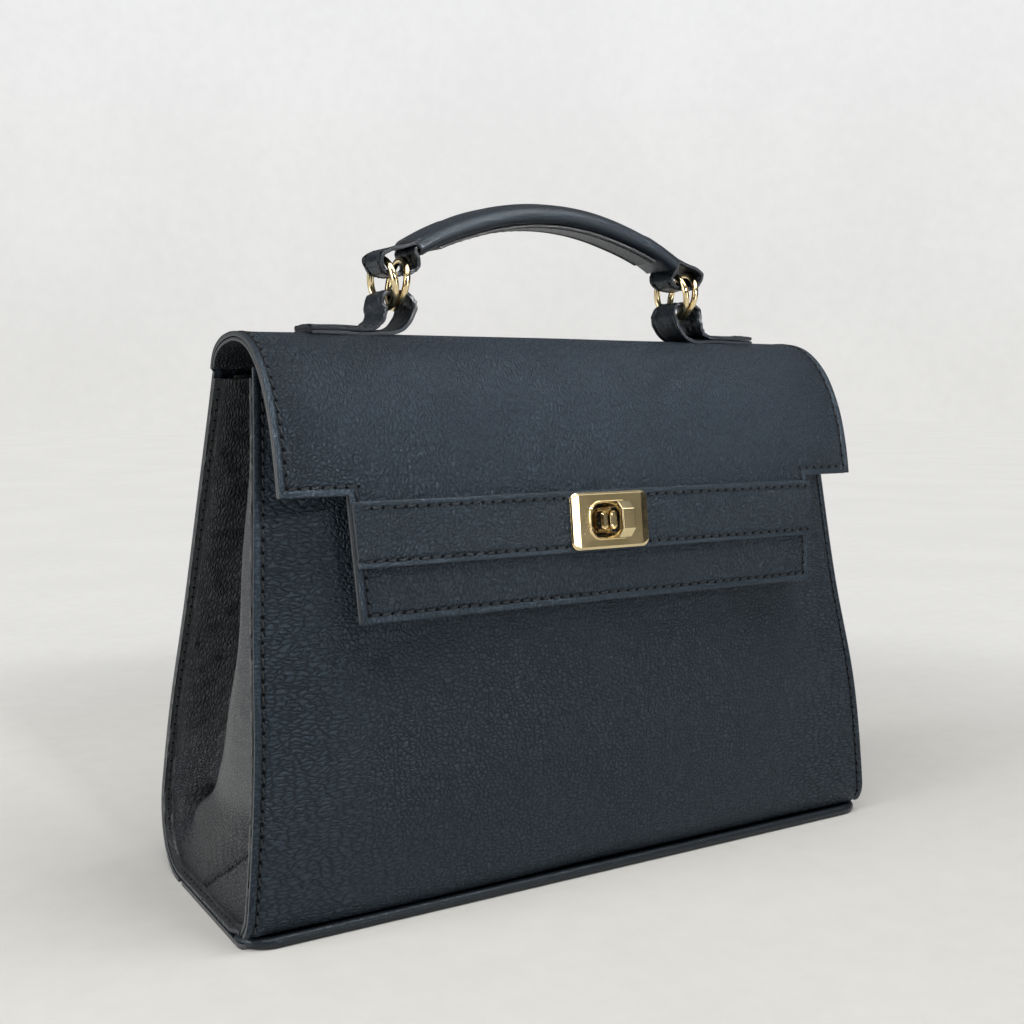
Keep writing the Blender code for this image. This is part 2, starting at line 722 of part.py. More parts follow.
def make_staple(pivot_back, arch_back):
    """The turning arch: a flat strap bent into a D with cut corners, on a short pivot."""
    top = PLATE_FACE + STAPLE_PROUD
    half = STAPLE_HEIGHT / 2
    inner = half - STAPLE_METAL
    cut_corner = STAPLE_CORNER
    inner_corner = STAPLE_CORNER * 0.7
    outline = [(-half, arch_back), (half, arch_back), (half, top - cut_corner),
               (half - cut_corner, top), (-half + cut_corner, top), (-half, top - cut_corner)]
    window = [(-inner, arch_back + STAPLE_METAL), (inner, arch_back + STAPLE_METAL),
              (inner, top - STAPLE_METAL - inner_corner),
              (inner - inner_corner, top - STAPLE_METAL),
              (-inner + inner_corner, top - STAPLE_METAL),
              (-inner, top - STAPLE_METAL - inner_corner)]
    pivot = LOCK_FACE + LOCK_OUT * arch_back
    turning = pivot_at("staple_pivot", pivot)

    def prism(name, points, half_thick):
        shape = bmesh.new()
        placed = [shape.verts.new((-half_thick, -out, up)) for up, out in points]
        face = shape.faces.new(placed)
        grown = bmesh.ops.extrude_face_region(shape, geom=[face])["geom"]
        for item in grown:
            if isinstance(item, bmesh.types.BMVert):
                item.co.x += 2 * half_thick
        bmesh.ops.recalc_face_normals(shape, faces=shape.faces)
        bmesh.ops.transform(shape, matrix=lock_frame(0), verts=shape.verts)
        return mesh_object(name, shape, GOLD, turning)

    staple = prism("turn_staple", outline, STAPLE_WIDTH / 2)
    cut(staple, prism("staple_window", window, STAPLE_WIDTH / 2 + OVERRUN))
    post = drum("staple_post", PIVOT_RADIUS, pivot_back, arch_back + STAPLE_METAL / 2, GOLD, 12)
    join = staple.modifiers.new("post", "BOOLEAN")
    join.operation = "UNION"
    join.solver = "EXACT"
    join.object = post
    post.hide_render = True
    post.display_type = "WIRE"
    BAG.objects.unlink(post)
    CUTTERS.objects.link(post)


# Handle

RING_Z = CROWN_HEIGHT + RING_HEIGHT
HANDLE_Y = -CROWN_FORWARD


def smooth_path(points, count):
    """Points evenly placed by chord along a smooth path in the XZ plane."""
    places = np.concatenate(([0.0], np.cumsum(
        [math.dist(a, b) for a, b in zip(points, points[1:])])))
    at = np.linspace(0, places[-1], count)
    return [(smooth_through(places, [p[0] for p in points], s),
             smooth_through(places, [p[1] for p in points], s)) for s in at]


def strap(name, path, half_widths, material, parent):
    """A leather strap whose middle follows a path in the XZ plane, with a width at each point."""
    rows = []
    for i, (x, z) in enumerate(path):
        before = path[max(i - 1, 0)]
        after = path[min(i + 1, len(path) - 1)]
        along = Vector((after[0] - before[0], 0, after[1] - before[1])).normalized()
        side = Vector((along.z, 0, -along.x)) * STRAP_LEATHER / 2
        middle = Vector((x, HANDLE_Y, z))
        reach = Vector((0, half_widths[i], 0))
        rows.append([middle + side - reach, middle + side + reach,
                     middle - side + reach, middle - side - reach])
    shape = bmesh.new()
    placed = [[shape.verts.new(point) for point in row] for row in rows]
    for low, high in zip(placed, placed[1:]):
        for k in range(4):
            shape.faces.new((low[k], low[(k + 1) % 4], high[(k + 1) % 4], high[k]))
    shape.faces.new(placed[0][::-1])
    shape.faces.new(placed[-1])
    bmesh.ops.recalc_face_normals(shape, faces=shape.faces)
    return mesh_object(name, shape, material, parent)


def pinched(path, z_pinch, side):
    """Strap half widths: drawn in where the strap passes through the rings."""
    widths = []
    for x, z in path:
        near = math.exp(-((z - z_pinch) / (1.6 * LOOP_PITCH)) ** 2)
        near *= math.exp(-((abs(x) - HANDLE_SPAN / 2) / (0.8 * TAB_LENGTH)) ** 4)
        widths.append(STRAP_WIDTH / 2 - (STRAP_WIDTH - STRAP_PINCH) / 2 * near)
    return widths


def make_tab(name, side, hinge):
    """A strap folded round the rings, whose two ends lie on the flap's crown and are sewn down."""
    half = STRAP_LEATHER / 2
    low = CROWN_HEIGHT + GAP + half
    layer = STRAP_LEATHER + GAP
    top = RING_Z - LOOP_PITCH - half
    middle = HANDLE_SPAN / 2
    tip = middle + TAB_LENGTH
    inner = middle - LOOP_HALF_WIDTH
    outer = middle + LOOP_HALF_WIDTH
    rise = top - low
    bend = LOOP_HALF_WIDTH
    points = [(tip, low), (middle + 0.66 * TAB_LENGTH, low), (middle + 0.33 * TAB_LENGTH, low),
              (middle, low), (inner + 0.20 * bend, low + 0.20 * rise),
              (inner - 0.06 * bend, low + 0.60 * rise), (inner + 0.10 * bend, low + 0.88 * rise),
              (inner + 0.45 * bend, low + 0.99 * rise), (middle, top),
              (outer - 0.45 * bend, low + 0.99 * rise), (outer - 0.10 * bend, low + 0.88 * rise),
              (outer + 0.06 * bend, low + 0.66 * rise), (outer + 0.10 * bend, low + 0.40 * rise),
              (outer + 0.60 * bend, low + layer + 0.06 * rise),
              (middle + 0.50 * TAB_LENGTH, low + layer), (middle + 0.75 * TAB_LENGTH, low + layer),
              (tip, low + layer)]
    path = [(side * x, max(z, low)) for x, z in smooth_path(points, 44)]
    strap(name, path, pinched(path, top, side), GRAINED, hinge)


def make_rings(side, hinge):
    names = ("left_outer_ring", "left_inner_ring") if side < 0 else (
        "right_outer_ring", "right_inner_ring")
    for name, shift in zip(names, (1, -1)):
        centre = Vector((side * (HANDLE_SPAN / 2 + shift * RING_SPACING / 2), HANDLE_Y, RING_Z))
        turning = pivot_at(name + "_pivot", centre, hinge)
        bpy.ops.mesh.primitive_torus_add(
            location=(0, 0, 0), rotation=(0, math.pi / 2, 0), major_segments=24,
            minor_segments=8, major_radius=RING_RADIUS, minor_radius=RING_WIRE)
        ring = bpy.context.object
        ring.name = name
        ring.data.name = name
        ring.data.materials.clear()
        keep(ring, GOLD)
        ring.parent = turning


def grip_line(share):
    """The middle of the grip's underside: share runs from -1 at the left end to 1 at the right."""
    half = GRIP_SPAN / 2
    radius = (half**2 + GRIP_ARCH**2) / (2 * GRIP_ARCH)
    angle = share * math.asin(half / radius)
    top = CROWN_HEIGHT + GRIP_BELOW_CROWN_TOP - GRIP_THICKNESS
    return Vector((radius * math.sin(angle), HANDLE_Y, top - radius * (1 - math.cos(angle)))), angle


def dome(width, thickness, steps=10):
    """Half section of the grip: a dome over a flat underside, (across, up)."""
    corner_share = 0.18
    points = []
    for k in range(steps + 1):
        angle = math.pi * k / steps
        points.append((-math.cos(angle) * width / 2,
                       corner_share * thickness
                       + (1 - corner_share) * thickness * math.sin(angle)**0.8))
    points.append((width / 2 * (1 - corner_share), 0))
    points.insert(0, (-width / 2 * (1 - corner_share), 0))
    return points


def swept(name, section_at, shares, material, parent, hollow_at=None):
    """A solid through sections set square to the grip's line."""
    shape = bmesh.new()

    def rings_of(section_of):
        rings = []
        for share in shares:
            middle, angle = grip_line(share)
            up = Vector((math.sin(angle), 0, math.cos(angle)))
            rings.append([shape.verts.new(middle + Vector((0, across, 0)) + up * rise)
                          for across, rise in section_of(share)])
        return rings

    def skin(rings, turn):
        count = len(rings[0])
        for low, high in zip(rings, rings[1:]):
            for k in range(count):
                quad = (low[k], low[(k + 1) % count], high[(k + 1) % count], high[k])
                shape.faces.new(quad[::-1] if turn else quad)

    outer = rings_of(section_at)
    skin(outer, False)
    if hollow_at is None:
        shape.faces.new(outer[0][::-1])
        shape.faces.new(outer[-1])
    else:
        inner = rings_of(hollow_at)
        skin(inner, True)
        count = len(outer[0])
        for end, turn in ((0, True), (-1, False)):
            for k in range(count):
                quad = (outer[end][k], outer[end][(k + 1) % count],
                        inner[end][(k + 1) % count], inner[end][k])
                shape.faces.new(quad[::-1] if turn else quad)
    bmesh.ops.recalc_face_normals(shape, faces=shape.faces)
    return mesh_object(name, shape, material, parent)


def make_grip(handle):
    shares = np.linspace(-1, 1, 17)

    def cover(share):
        return dome(GRIP_WIDTH, GRIP_THICKNESS)

    def bore(share):
        points = dome(GRIP_WIDTH - 2 * GRIP_SHELL, GRIP_THICKNESS - 2 * GRIP_SHELL)
        return [(across, up + GRIP_SHELL) for across, up in points]

    def core(share):
        inset = GRIP_SHELL + GAP
        points = dome(GRIP_WIDTH - 2 * inset, GRIP_THICKNESS - 2 * inset)
        return [(across, up + inset) for across, up in points]

    swept("grip_cover", cover, shares, GRAINED, handle, bore)
    core_end = 1 - 2 * END_SLEEVE / GRIP_SPAN
    swept("grip_core", core, np.linspace(-core_end, core_end, 13), BOARD, handle)

    half = GRIP_WIDTH / 2 - UNDERSIDE_INSET - GRIP_SHELL

    def underside(share):
        return [(-half, -GAP - UNDERSIDE_LEATHER), (-half, -GAP), (half, -GAP),
                (half, -GAP - UNDERSIDE_LEATHER)]

    under_end = 1 - END_SLEEVE / GRIP_SPAN
    swept("grip_underside", underside, np.linspace(-under_end, under_end, 15), GRAINED, handle)


def grip_inside(tuck, rise):
    """(x, z) at a distance into the grip's right end and a height over its underside."""
    middle, angle = grip_line(1 - 2 * tuck / GRIP_SPAN)
    return middle.x + math.sin(angle) * rise, middle.z + math.cos(angle) * rise


def make_grip_loop(name, side, handle):
    """A strap that comes out of the grip's end, passes round the rings and goes back in."""
    half = STRAP_LEATHER / 2
    low = GRIP_SHELL + GAP + half
    high = low + STRAP_LEATHER + GAP
    bottom = RING_Z + LOOP_PITCH + half
    over = RING_Z + RING_RADIUS + RING_WIRE + GAP + half
    middle = HANDLE_SPAN / 2
    inner = middle - LOOP_HALF_WIDTH
    outer = middle + LOOP_HALF_WIDTH
    bend = LOOP_HALF_WIDTH
    span = over - bottom
    points = [grip_inside(tuck, high) for tuck in (GRIP_TUCK, GRIP_TUCK / 2, GRIP_TUCK / 4)]
    points += [(middle - 0.15 * bend, over + GAP), (outer - 0.30 * bend, over - GAP),
               (outer + 0.25 * bend, bottom + 0.72 * span),
               (outer + 0.20 * bend, bottom + 0.34 * span),
               (outer - 0.10 * bend, bottom + 0.07 * span),
               (outer - 0.45 * bend, bottom), (inner + 0.45 * bend, bottom),
               (inner - 0.05 * bend, bottom + 0.10 * span),
               (inner - 0.35 * bend, bottom + 0.34 * span)]
    points += [grip_inside(tuck, low)
               for tuck in (-GRIP_TUCK / 9, GRIP_TUCK / 4, GRIP_TUCK / 2, GRIP_TUCK)]
    path = [(side * x, z) for x, z in smooth_path(points, 34)]
    strap(name, path, pinched(path, bottom, side), GRAINED, handle)


def main():
    front, back, stiffeners, linings = make_panels()
    make_pocket()
    make_gussets()
    make_base()
    hinge = pivot_at("flap_hinge", HINGE)
    make_flap(hinge)
    make_lock(front, stiffeners[0], linings[0])
    make_tab("left_handle_tab", -1, hinge)
    make_tab("right_handle_tab", 1, hinge)
    make_rings(-1, hinge)
    make_rings(1, hinge)
    handle = pivot_at("handle_pivot", Vector((0, HANDLE_Y, RING_Z)), hinge)
    make_grip(handle)
    make_grip_loop("left_grip_loop", -1, handle)
    make_grip_loop("right_grip_loop", 1, handle)


main()
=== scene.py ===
# %% [markdown]
# # A structured leather handbag
# The real bag is stiff leather sewn round boards, with a folded side at each end, a flap, a
# turn lock and a padded handle. A packed model of it gives plain solids and the bodies that
# they move with. Those solids could simply be given materials. Here each visible piece is made
# again as a finer mesh, because grooves, folds and seams need more points than a plain solid
# has. Lengths are metres, +Z is up, and the bag's front looks towards -Y.

# %% Load the model
import math

import bmesh
import bpy
import numpy as np
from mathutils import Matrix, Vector


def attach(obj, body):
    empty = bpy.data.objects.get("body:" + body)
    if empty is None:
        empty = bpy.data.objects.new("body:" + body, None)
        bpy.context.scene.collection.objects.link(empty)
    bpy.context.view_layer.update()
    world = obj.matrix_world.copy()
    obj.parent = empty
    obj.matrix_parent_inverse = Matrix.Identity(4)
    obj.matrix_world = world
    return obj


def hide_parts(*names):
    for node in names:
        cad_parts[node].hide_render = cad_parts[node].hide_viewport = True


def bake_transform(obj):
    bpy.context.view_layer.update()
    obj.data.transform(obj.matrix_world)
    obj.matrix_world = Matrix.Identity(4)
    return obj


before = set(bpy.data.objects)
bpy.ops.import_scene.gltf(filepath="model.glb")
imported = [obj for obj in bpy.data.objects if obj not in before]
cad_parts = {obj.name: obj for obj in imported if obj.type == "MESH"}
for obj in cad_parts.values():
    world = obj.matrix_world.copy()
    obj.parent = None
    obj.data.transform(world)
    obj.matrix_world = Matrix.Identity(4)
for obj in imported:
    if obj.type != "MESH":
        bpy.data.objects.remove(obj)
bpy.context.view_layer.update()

scene = bpy.context.scene
scene.view_settings.view_transform = "Standard"
MM = 0.001


def in_scene(name, data):
    """A new object that is linked to the scene."""
    made = bpy.data.objects.new(name, data)
    scene.collection.objects.link(made)
    return made


# %% [markdown]
# ## The photographer's place
# The camera stands a little above the bag and to the left of its front, with a lens slightly
# longer than normal. It could be flown into place by eye. Here its place and turn were fitted
# to the corners of the bag and are typed in, so that the frame is the same each time. The
# small shift slides the picture without tilting the camera, which leaves upright edges alone.

# %% Camera
CAMERA_PLACE = (-0.2875, -0.4590, 0.1949)
CAMERA_TILT = math.radians(82.65)
CAMERA_TURN = math.radians(-30.92)
LENS = 44.55
SHIFT = (0.0071, 0.0404)

camera_data = bpy.data.cameras.new("camera")
camera = in_scene("camera", camera_data)
camera.location = CAMERA_PLACE
camera.rotation_euler = (CAMERA_TILT, 0, CAMERA_TURN)
camera_data.sensor_width = 36
camera_data.lens = LENS
camera_data.shift_x, camera_data.shift_y = SHIFT
camera_data.clip_start = 0.01
scene.camera = camera
print("camera at", CAMERA_PLACE, "with a lens of", LENS, "mm")

# %% [markdown]
# ## Short names for shader nodes
# A finish in Blender is a graph of nodes, usually wired by hand in the Shader Editor. Written
# out in a script, each node takes three or four lines. A small class turns each into one short
# call, so that the materials further down read like recipes.


# %% Node helpers
class Nodes:
    """The nodes of one material or world, made by short calls."""

    def __init__(self, tree):
        self.tree = tree

    def add(self, kind, settings=None, **sockets):
        node = self.tree.nodes.new(kind)
        for key, value in (settings or {}).items():
            setattr(node, key, value)
        return self.set(node, **sockets)

    def set(self, node, **sockets):
        """Values and links for a node's sockets, named with _ for a space."""
        for key, value in sockets.items():
            self.put(node.inputs[key.replace("_", " ")], value)
        return node

    def put(self, socket, value):
        """A link if the value is a node or a socket, else the number or colour itself."""
        if hasattr(value, "outputs"):
            value = value.outputs[0]
        if isinstance(value, bpy.types.NodeSocket):
            self.tree.links.new(value, socket)
        else:
            socket.default_value = value

    def math(self, operation, *values, kind="ShaderNodeMath"):
        """A sum or a product; vector() does the same with places and colours."""
        node = self.add(kind, {"operation": operation})
        for socket, value in zip(node.inputs, values):
            self.put(socket, value)
        return node.outputs[0]

    def vector(self, operation, *values):
        return self.math(operation, *values, kind="ShaderNodeVectorMath")

    def ramp(self, value, low, high, to_low=0.0, to_high=1.0, smooth=True):
        """A number from one range brought into another."""
        node = self.add("ShaderNodeMapRange", Value=value, From_Min=low, From_Max=high,
                        To_Min=to_low, To_Max=to_high)
        node.interpolation_type = "SMOOTHSTEP" if smooth else "LINEAR"
        return node.outputs[0]

    def mix(self, factor, a, b):
        """A colour between two."""
        node = self.add("ShaderNodeMix", {"data_type": "RGBA"}, Factor=factor)
        for socket, value in ((node.inputs[6], a), (node.inputs[7], b)):
            self.put(socket, (*value, 1.0) if isinstance(value, tuple) else value)
        return node.outputs[2]

    def bump(self, height, distance, strength=1.0):
        return self.add("ShaderNodeBump", Height=height, Distance=distance,
                        Strength=strength).outputs[0]


def material(name):
    """A new Principled material, its nodes and its shader."""
    made = bpy.data.materials.new(name)
    made.use_nodes = True
    return made, Nodes(made.node_tree), made.node_tree.nodes["Principled BSDF"]


def attribute(nodes, name):
    """A number painted on a mesh."""
    return nodes.add("ShaderNodeAttribute", {"attribute_name": name}).outputs["Fac"]


def laid_out(nodes):
    """The place on the flat hide, in metres."""
    return nodes.add("ShaderNodeUVMap", {"uv_map": "grain"}).outputs[0]


def in_space(nodes):
    """The place in the piece's own space."""
    return nodes.add("ShaderNodeTexCoord").outputs["Object"]


def stretched(nodes, point, x, y, z=1.0):
    """A texture's place with its directions drawn out or in."""
    return nodes.vector("MULTIPLY", point, (x, y, z))


print("short calls:", [call for call in vars(Nodes) if call[0] != "_"])


# %% [markdown]
# ## Two textures that most finishes share
# Leather, thread, paint and metal all have slow clouds or small cells in them. A photograph
# wrapped over the pieces could bring those, but it blurs close up and shows its seams. Noise
# and Voronoi textures are worked out at each point instead, and stay sharp at any distance.


# %% Cells and clouds
def cell_edges(nodes, point, size):
    """How far a point lies from the edges between flat cells of a size, in cells."""
    return nodes.add("ShaderNodeTexVoronoi", {"feature": "DISTANCE_TO_EDGE",
                                              "voronoi_dimensions": "2D"},
                     Scale=1 / size, Randomness=1.0, Vector=point).outputs["Distance"]


def noise(nodes, point, scale, detail=2.0, roughness=0.5, kind="Fac"):
    """Clouds, as a number or as a colour."""
    return nodes.add("ShaderNodeTexNoise", {"noise_dimensions": "3D"}, Scale=scale,
                     Detail=detail, Roughness=roughness, Vector=point).outputs[kind]


print("cells and clouds: sizes are in metres")


# %% [markdown]
# ## The grain of the leather
# The hide has rounded pebbles between fine creases, drawn out into long folds near the seams.
# Modelled, this would take millions of faces. Cells give it instead: their middles are the
# pebbles, and the distance to a cell's edge is the crease. The UV map "grain" lays them out in
# metres on each piece. Two numbers painted on the mesh steer them: "drawn" runs from -1, upright
# folds, to 1, level ones, and "pressed" says how flat the grain lies, as beside an edge.

# %% Pebbles and creases
PEBBLE = 1.75 * MM
FINE_PEBBLE = 0.62 * MM
ROUND_CELL, LEVEL_CELL, UPRIGHT_CELL = (0.90, 1.08), (0.42, 1.25), (1.22, 0.46)


def bent_grain(nodes, grain, pebble):
    """The grain's place, swayed and shaken, so that no cell has a straight side."""
    sway = noise(nodes, grain, 1 / (4.5 * pebble), kind="Color")
    offset = nodes.vector("SUBTRACT", sway, (0.5, 0.5, 0.5))
    shake = noise(nodes, grain, 1 / (0.9 * pebble), kind="Color")
    swayed = nodes.vector("MULTIPLY_ADD", offset, (2.4 * pebble, 2.4 * pebble, 0), grain)
    return nodes.vector("MULTIPLY_ADD", shake, (0.75 * pebble, 0.75 * pebble, 0), swayed)


def pebble_edges(nodes, bent, pebble, drawn):
    """Distance to the nearest crease, and how far the folds stand upright."""
    round_edge, level_edge, upright_edge = (
        cell_edges(nodes, stretched(nodes, bent, *cell), pebble)
        for cell in (ROUND_CELL, LEVEL_CELL, UPRIGHT_CELL))
    level = nodes.math("MAXIMUM", drawn, 0.0)
    upright = nodes.math("MAXIMUM", nodes.math("MULTIPLY", drawn, -1.0), 0.0)
    plain = nodes.math("SUBTRACT", nodes.math("SUBTRACT", 1.0, level), upright)
    edge = nodes.math("MULTIPLY", round_edge, plain)
    edge = nodes.math("MULTIPLY_ADD", level_edge, level, edge)
    return nodes.math("MULTIPLY_ADD", upright_edge, upright, edge), upright


print("pebbles", PEBBLE / MM, "mm, with finer ones of", FINE_PEBBLE / MM, "mm over them")

# %% [markdown]
# ## Black leather
# The hide is dyed a blue black. Its creases are painted darker as shade, and the tops of its
# pebbles are painted paler as a highlight and made smoother. One flat colour with a bump would
# look like plastic, so the distance that lifts the pebbles also steers their colour and their
# gloss. The gusset's leather is painted grey where it is pressed, partly as rubbed wear on its
# flanges and partly as a painted highlight on the strip beside its front seam, and its upright
# folds are painted darker as shade.

# %% Leather
GRAIN_DEPTH = 0.80 * MM
LEATHER_BLACK = (0.0058, 0.0092, 0.0140)
# The crease colour is painted shade, the pebble-top colour a painted highlight, and the pressed
# grey partly rubbed wear and partly a painted highlight.
CREASE_SHADE_BLACK = (0.0010, 0.0016, 0.0026)
PEBBLE_HIGHLIGHT_BLACK = (0.023, 0.031, 0.042)
RUBBED_AND_LIT_GREY = (0.060, 0.063, 0.067)
LEATHER_SHEEN = (0.60, 0.79, 1.0)
CLOUD_SIZE = 30 * MM


def pebbled_leather(name, colour, crease_shade, pebble_highlight, depth=GRAIN_DEPTH, gloss=0.0, pebble=PEBBLE,
                    sheen=LEATHER_SHEEN, rubbed_and_lit=None):
    """Grained leather: its height, its colour and its gloss, all from the same creases."""
    made, nodes, shader = material(name)
    grain = laid_out(nodes)
    pressed = attribute(nodes, "pressed")
    bent = bent_grain(nodes, grain, pebble)
    edge, upright = pebble_edges(nodes, bent, pebble, attribute(nodes, "drawn"))
    dome = nodes.ramp(edge, 0.0, 0.42, smooth=False)
    pebbles = nodes.math("MULTIPLY", dome, nodes.math("SUBTRACT", 2.0, dome))
    # painted shade: near the cell edges the colour goes to the crease colour, as if the creases
    # lay in shade
    crease_shade_share = nodes.ramp(edge, 0.01, 0.17)
    fine = nodes.ramp(cell_edges(nodes, bent, FINE_PEBBLE), 0.0, 0.25)
    swell = noise(nodes, grain, 1 / (2.6 * pebble), 2.0)
    height = nodes.math("MULTIPLY_ADD", fine, 0.13, pebbles)
    height = nodes.math("MULTIPLY_ADD", swell, 0.9, height)
    strength = nodes.ramp(pressed, 0.0, 1.0, 1.0, 0.30, smooth=False)
    normal = nodes.bump(height, depth, strength)

    cloud = noise(nodes, grain, 1 / CLOUD_SIZE, 3.0)
    # painted highlight: the pebble tops are coloured paler, more so in slow patches, as if they
    # caught the light
    highlight_share = nodes.math("MULTIPLY", nodes.ramp(cloud, 0.30, 0.70, 0.45, 1.0),
                            nodes.ramp(edge, 0.12, 0.36, 0.0, 0.85))
    tone = nodes.mix(crease_shade_share, crease_shade, colour)
    tone = nodes.mix(highlight_share, tone, pebble_highlight)
    if rubbed_and_lit:
        # painted shade: the upright folds in the valley are coloured towards the crease colour,
        # as if in shade
        tone = nodes.mix(nodes.math("MULTIPLY", upright, 0.9), tone, crease_shade)
        # painted grey where pressed: rubbed wear on the flanges, and a painted highlight on the
        # strip beside the front seam
        tone = nodes.mix(nodes.ramp(pressed, 0.0, 0.60, 0.0, 0.9), tone, rubbed_and_lit)
    rough = nodes.ramp(edge, 0.0, 0.25, 0.62, 0.34 - 0.10 * gloss)
    rough = nodes.math("ADD", rough, nodes.ramp(cloud, 0.3, 0.7, -0.03, 0.04))
    if rubbed_and_lit:
        rough = nodes.math("MULTIPLY_ADD", upright, 0.28, rough)
    nodes.set(shader, Base_Color=tone, Roughness=rough, Normal=normal, Specular_IOR_Level=0.58,
              Specular_Tint=(*sheen, 1.0), Coat_Weight=0.03 + 0.25 * gloss, Coat_Roughness=0.30)
    return made


print("grain", GRAIN_DEPTH / MM, "mm deep, clouds of", CLOUD_SIZE / MM, "mm")


# %% [markdown]
# ## Three hides
# The shell is cut from the grained hide, the gussets from a softer one, and the straps and the
# grip from a fine one with shallow pebbles. Three copies of the node graph could hold them. One
# recipe called with three sets of values is shorter, and a change to it reaches them all.

# %% Three leathers
SOFT_BLACK = (0.0100, 0.0112, 0.0150)
# the fine leather's painted highlight on its pebble tops
FINE_PEBBLE_HIGHLIGHT = (0.009, 0.013, 0.019)

leather = pebbled_leather("grained_leather", LEATHER_BLACK, CREASE_SHADE_BLACK, PEBBLE_HIGHLIGHT_BLACK)
soft_leather = pebbled_leather("gusset_leather", SOFT_BLACK, CREASE_SHADE_BLACK, PEBBLE_HIGHLIGHT_BLACK,
                               depth=0.45 * MM, gloss=0.15, pebble=1.35 * MM,
                               sheen=(0.90, 0.95, 1.0), rubbed_and_lit=RUBBED_AND_LIT_GREY)
fine_leather = pebbled_leather("fine_strap_leather", LEATHER_BLACK, CREASE_SHADE_BLACK, FINE_PEBBLE_HIGHLIGHT,
                               depth=0.085 * MM, gloss=0.25, pebble=0.95 * MM,
                               sheen=(0.74, 0.87, 1.0))
print("leathers", [m.name for m in (leather, soft_leather, fine_leather)])

# %% [markdown]
# ## Painted edges
# Where a hide is cut, its edge is sealed with several coats of paint, which dry with faint
# streaks. A plain dark line would do from afar. Streaked noise, mixed between two tones, also
# holds up close. The edges are greyest on the body, darker on the flap, darkest on the straps.


# %% Cut edges
def edge_finish(name, dark, pale):
    made, nodes, shader = material(name)
    place = in_space(nodes)
    streak = noise(nodes, place, 420.0, 3.0)
    nodes.set(shader, Base_Color=nodes.mix(streak, dark, pale),
              Roughness=nodes.ramp(streak, 0.3, 0.7, 0.34, 0.50),
              Normal=nodes.bump(streak, 0.12 * MM, 0.5))
    return made


edge_paint = edge_finish("painted_edge", (0.048, 0.052, 0.056), (0.085, 0.090, 0.096))
flap_edge = edge_finish("flap_edge", (0.034, 0.038, 0.044), (0.062, 0.067, 0.074))
strap_edge = edge_finish("strap_edge", (0.010, 0.013, 0.019), (0.022, 0.027, 0.036))
print("edges", [m.name for m in (edge_paint, flap_edge, strap_edge)])

# %% [markdown]
# ## Lining, thread, holes and board
# The lining is thin napped leather, the thread a waxed twist, the needle's holes are small pits
# painted near black as their shade, and the boards are pressed fibre. One plain black could serve
# for all four. Each has its own small recipe, because nap, twist and fibre catch the light in
# quite different ways.

# %% Lining leather
NAP, LINING_GRAIN = 0.5 * MM, 0.8 * MM

lining, nodes, shader = material("lining")
place = laid_out(nodes)
nap = noise(nodes, place, 1 / NAP, 3.0)
hide = cell_edges(nodes, place, LINING_GRAIN)
nodes.set(shader, Base_Color=nodes.mix(nap, (0.016, 0.016, 0.018), (0.030, 0.030, 0.033)),
          Roughness=nodes.ramp(nap, 0.3, 0.7, 0.70, 0.88),
          Normal=nodes.bump(nodes.math("ADD", nap, hide), 0.10 * MM))
print("lining with a nap of", NAP / MM, "mm")

# %% Thread and needle holes
THREAD_TWIST = 2.2 * MM

thread, nodes, shader = material("thread")
twist = nodes.add("ShaderNodeTexWave", {"wave_type": "BANDS", "bands_direction": "DIAGONAL"},
                  Scale=1 / THREAD_TWIST, Vector=laid_out(nodes)).outputs["Fac"]
nodes.set(shader, Base_Color=nodes.mix(twist, (0.002, 0.003, 0.004), (0.009, 0.012, 0.016)),
          Normal=nodes.bump(twist, 0.08 * MM), Roughness=0.55, Sheen_Weight=0.15)

# Needle holes: painted shade, a near-black matte colour where each hole lies in shade.
stitch_hole_shade, nodes, shader = material("stitch_hole_shade")
fleck = noise(nodes, in_space(nodes), 900.0)
nodes.set(shader, Base_Color=nodes.mix(fleck, (0.001, 0.001, 0.001), (0.004, 0.004, 0.005)),
          Roughness=0.9, Specular_IOR_Level=0.1)
print("thread", thread.name, "and holes", stitch_hole_shade.name)

# %% Board
board, nodes, shader = material("stiffening_board")
fibre = noise(nodes, stretched(nodes, in_space(nodes), 1.0, 1.0, 0.25), 700.0, 4.0)
nodes.set(shader, Base_Color=nodes.mix(fibre, (0.055, 0.052, 0.048), (0.13, 0.125, 0.115)),
          Normal=nodes.bump(fibre, 0.15 * MM), Roughness=0.88)
print("board has", len(nodes.tree.nodes), "nodes")

# %% [markdown]
# ## Pale gold
# The lock and the rings are plated a pale gold. A metal has almost no colour of its own beside
# what it mirrors, so a flat yellow would look like paint. This one is fully metallic and
# smooth, with hairline polishing marks, a few longer scratches, and slow clouds where fingers
# have dulled it.

# %% Gold
PALE_GOLD = (0.86, 0.70, 0.41)
GOLD_MARKS = 0.0014 * MM


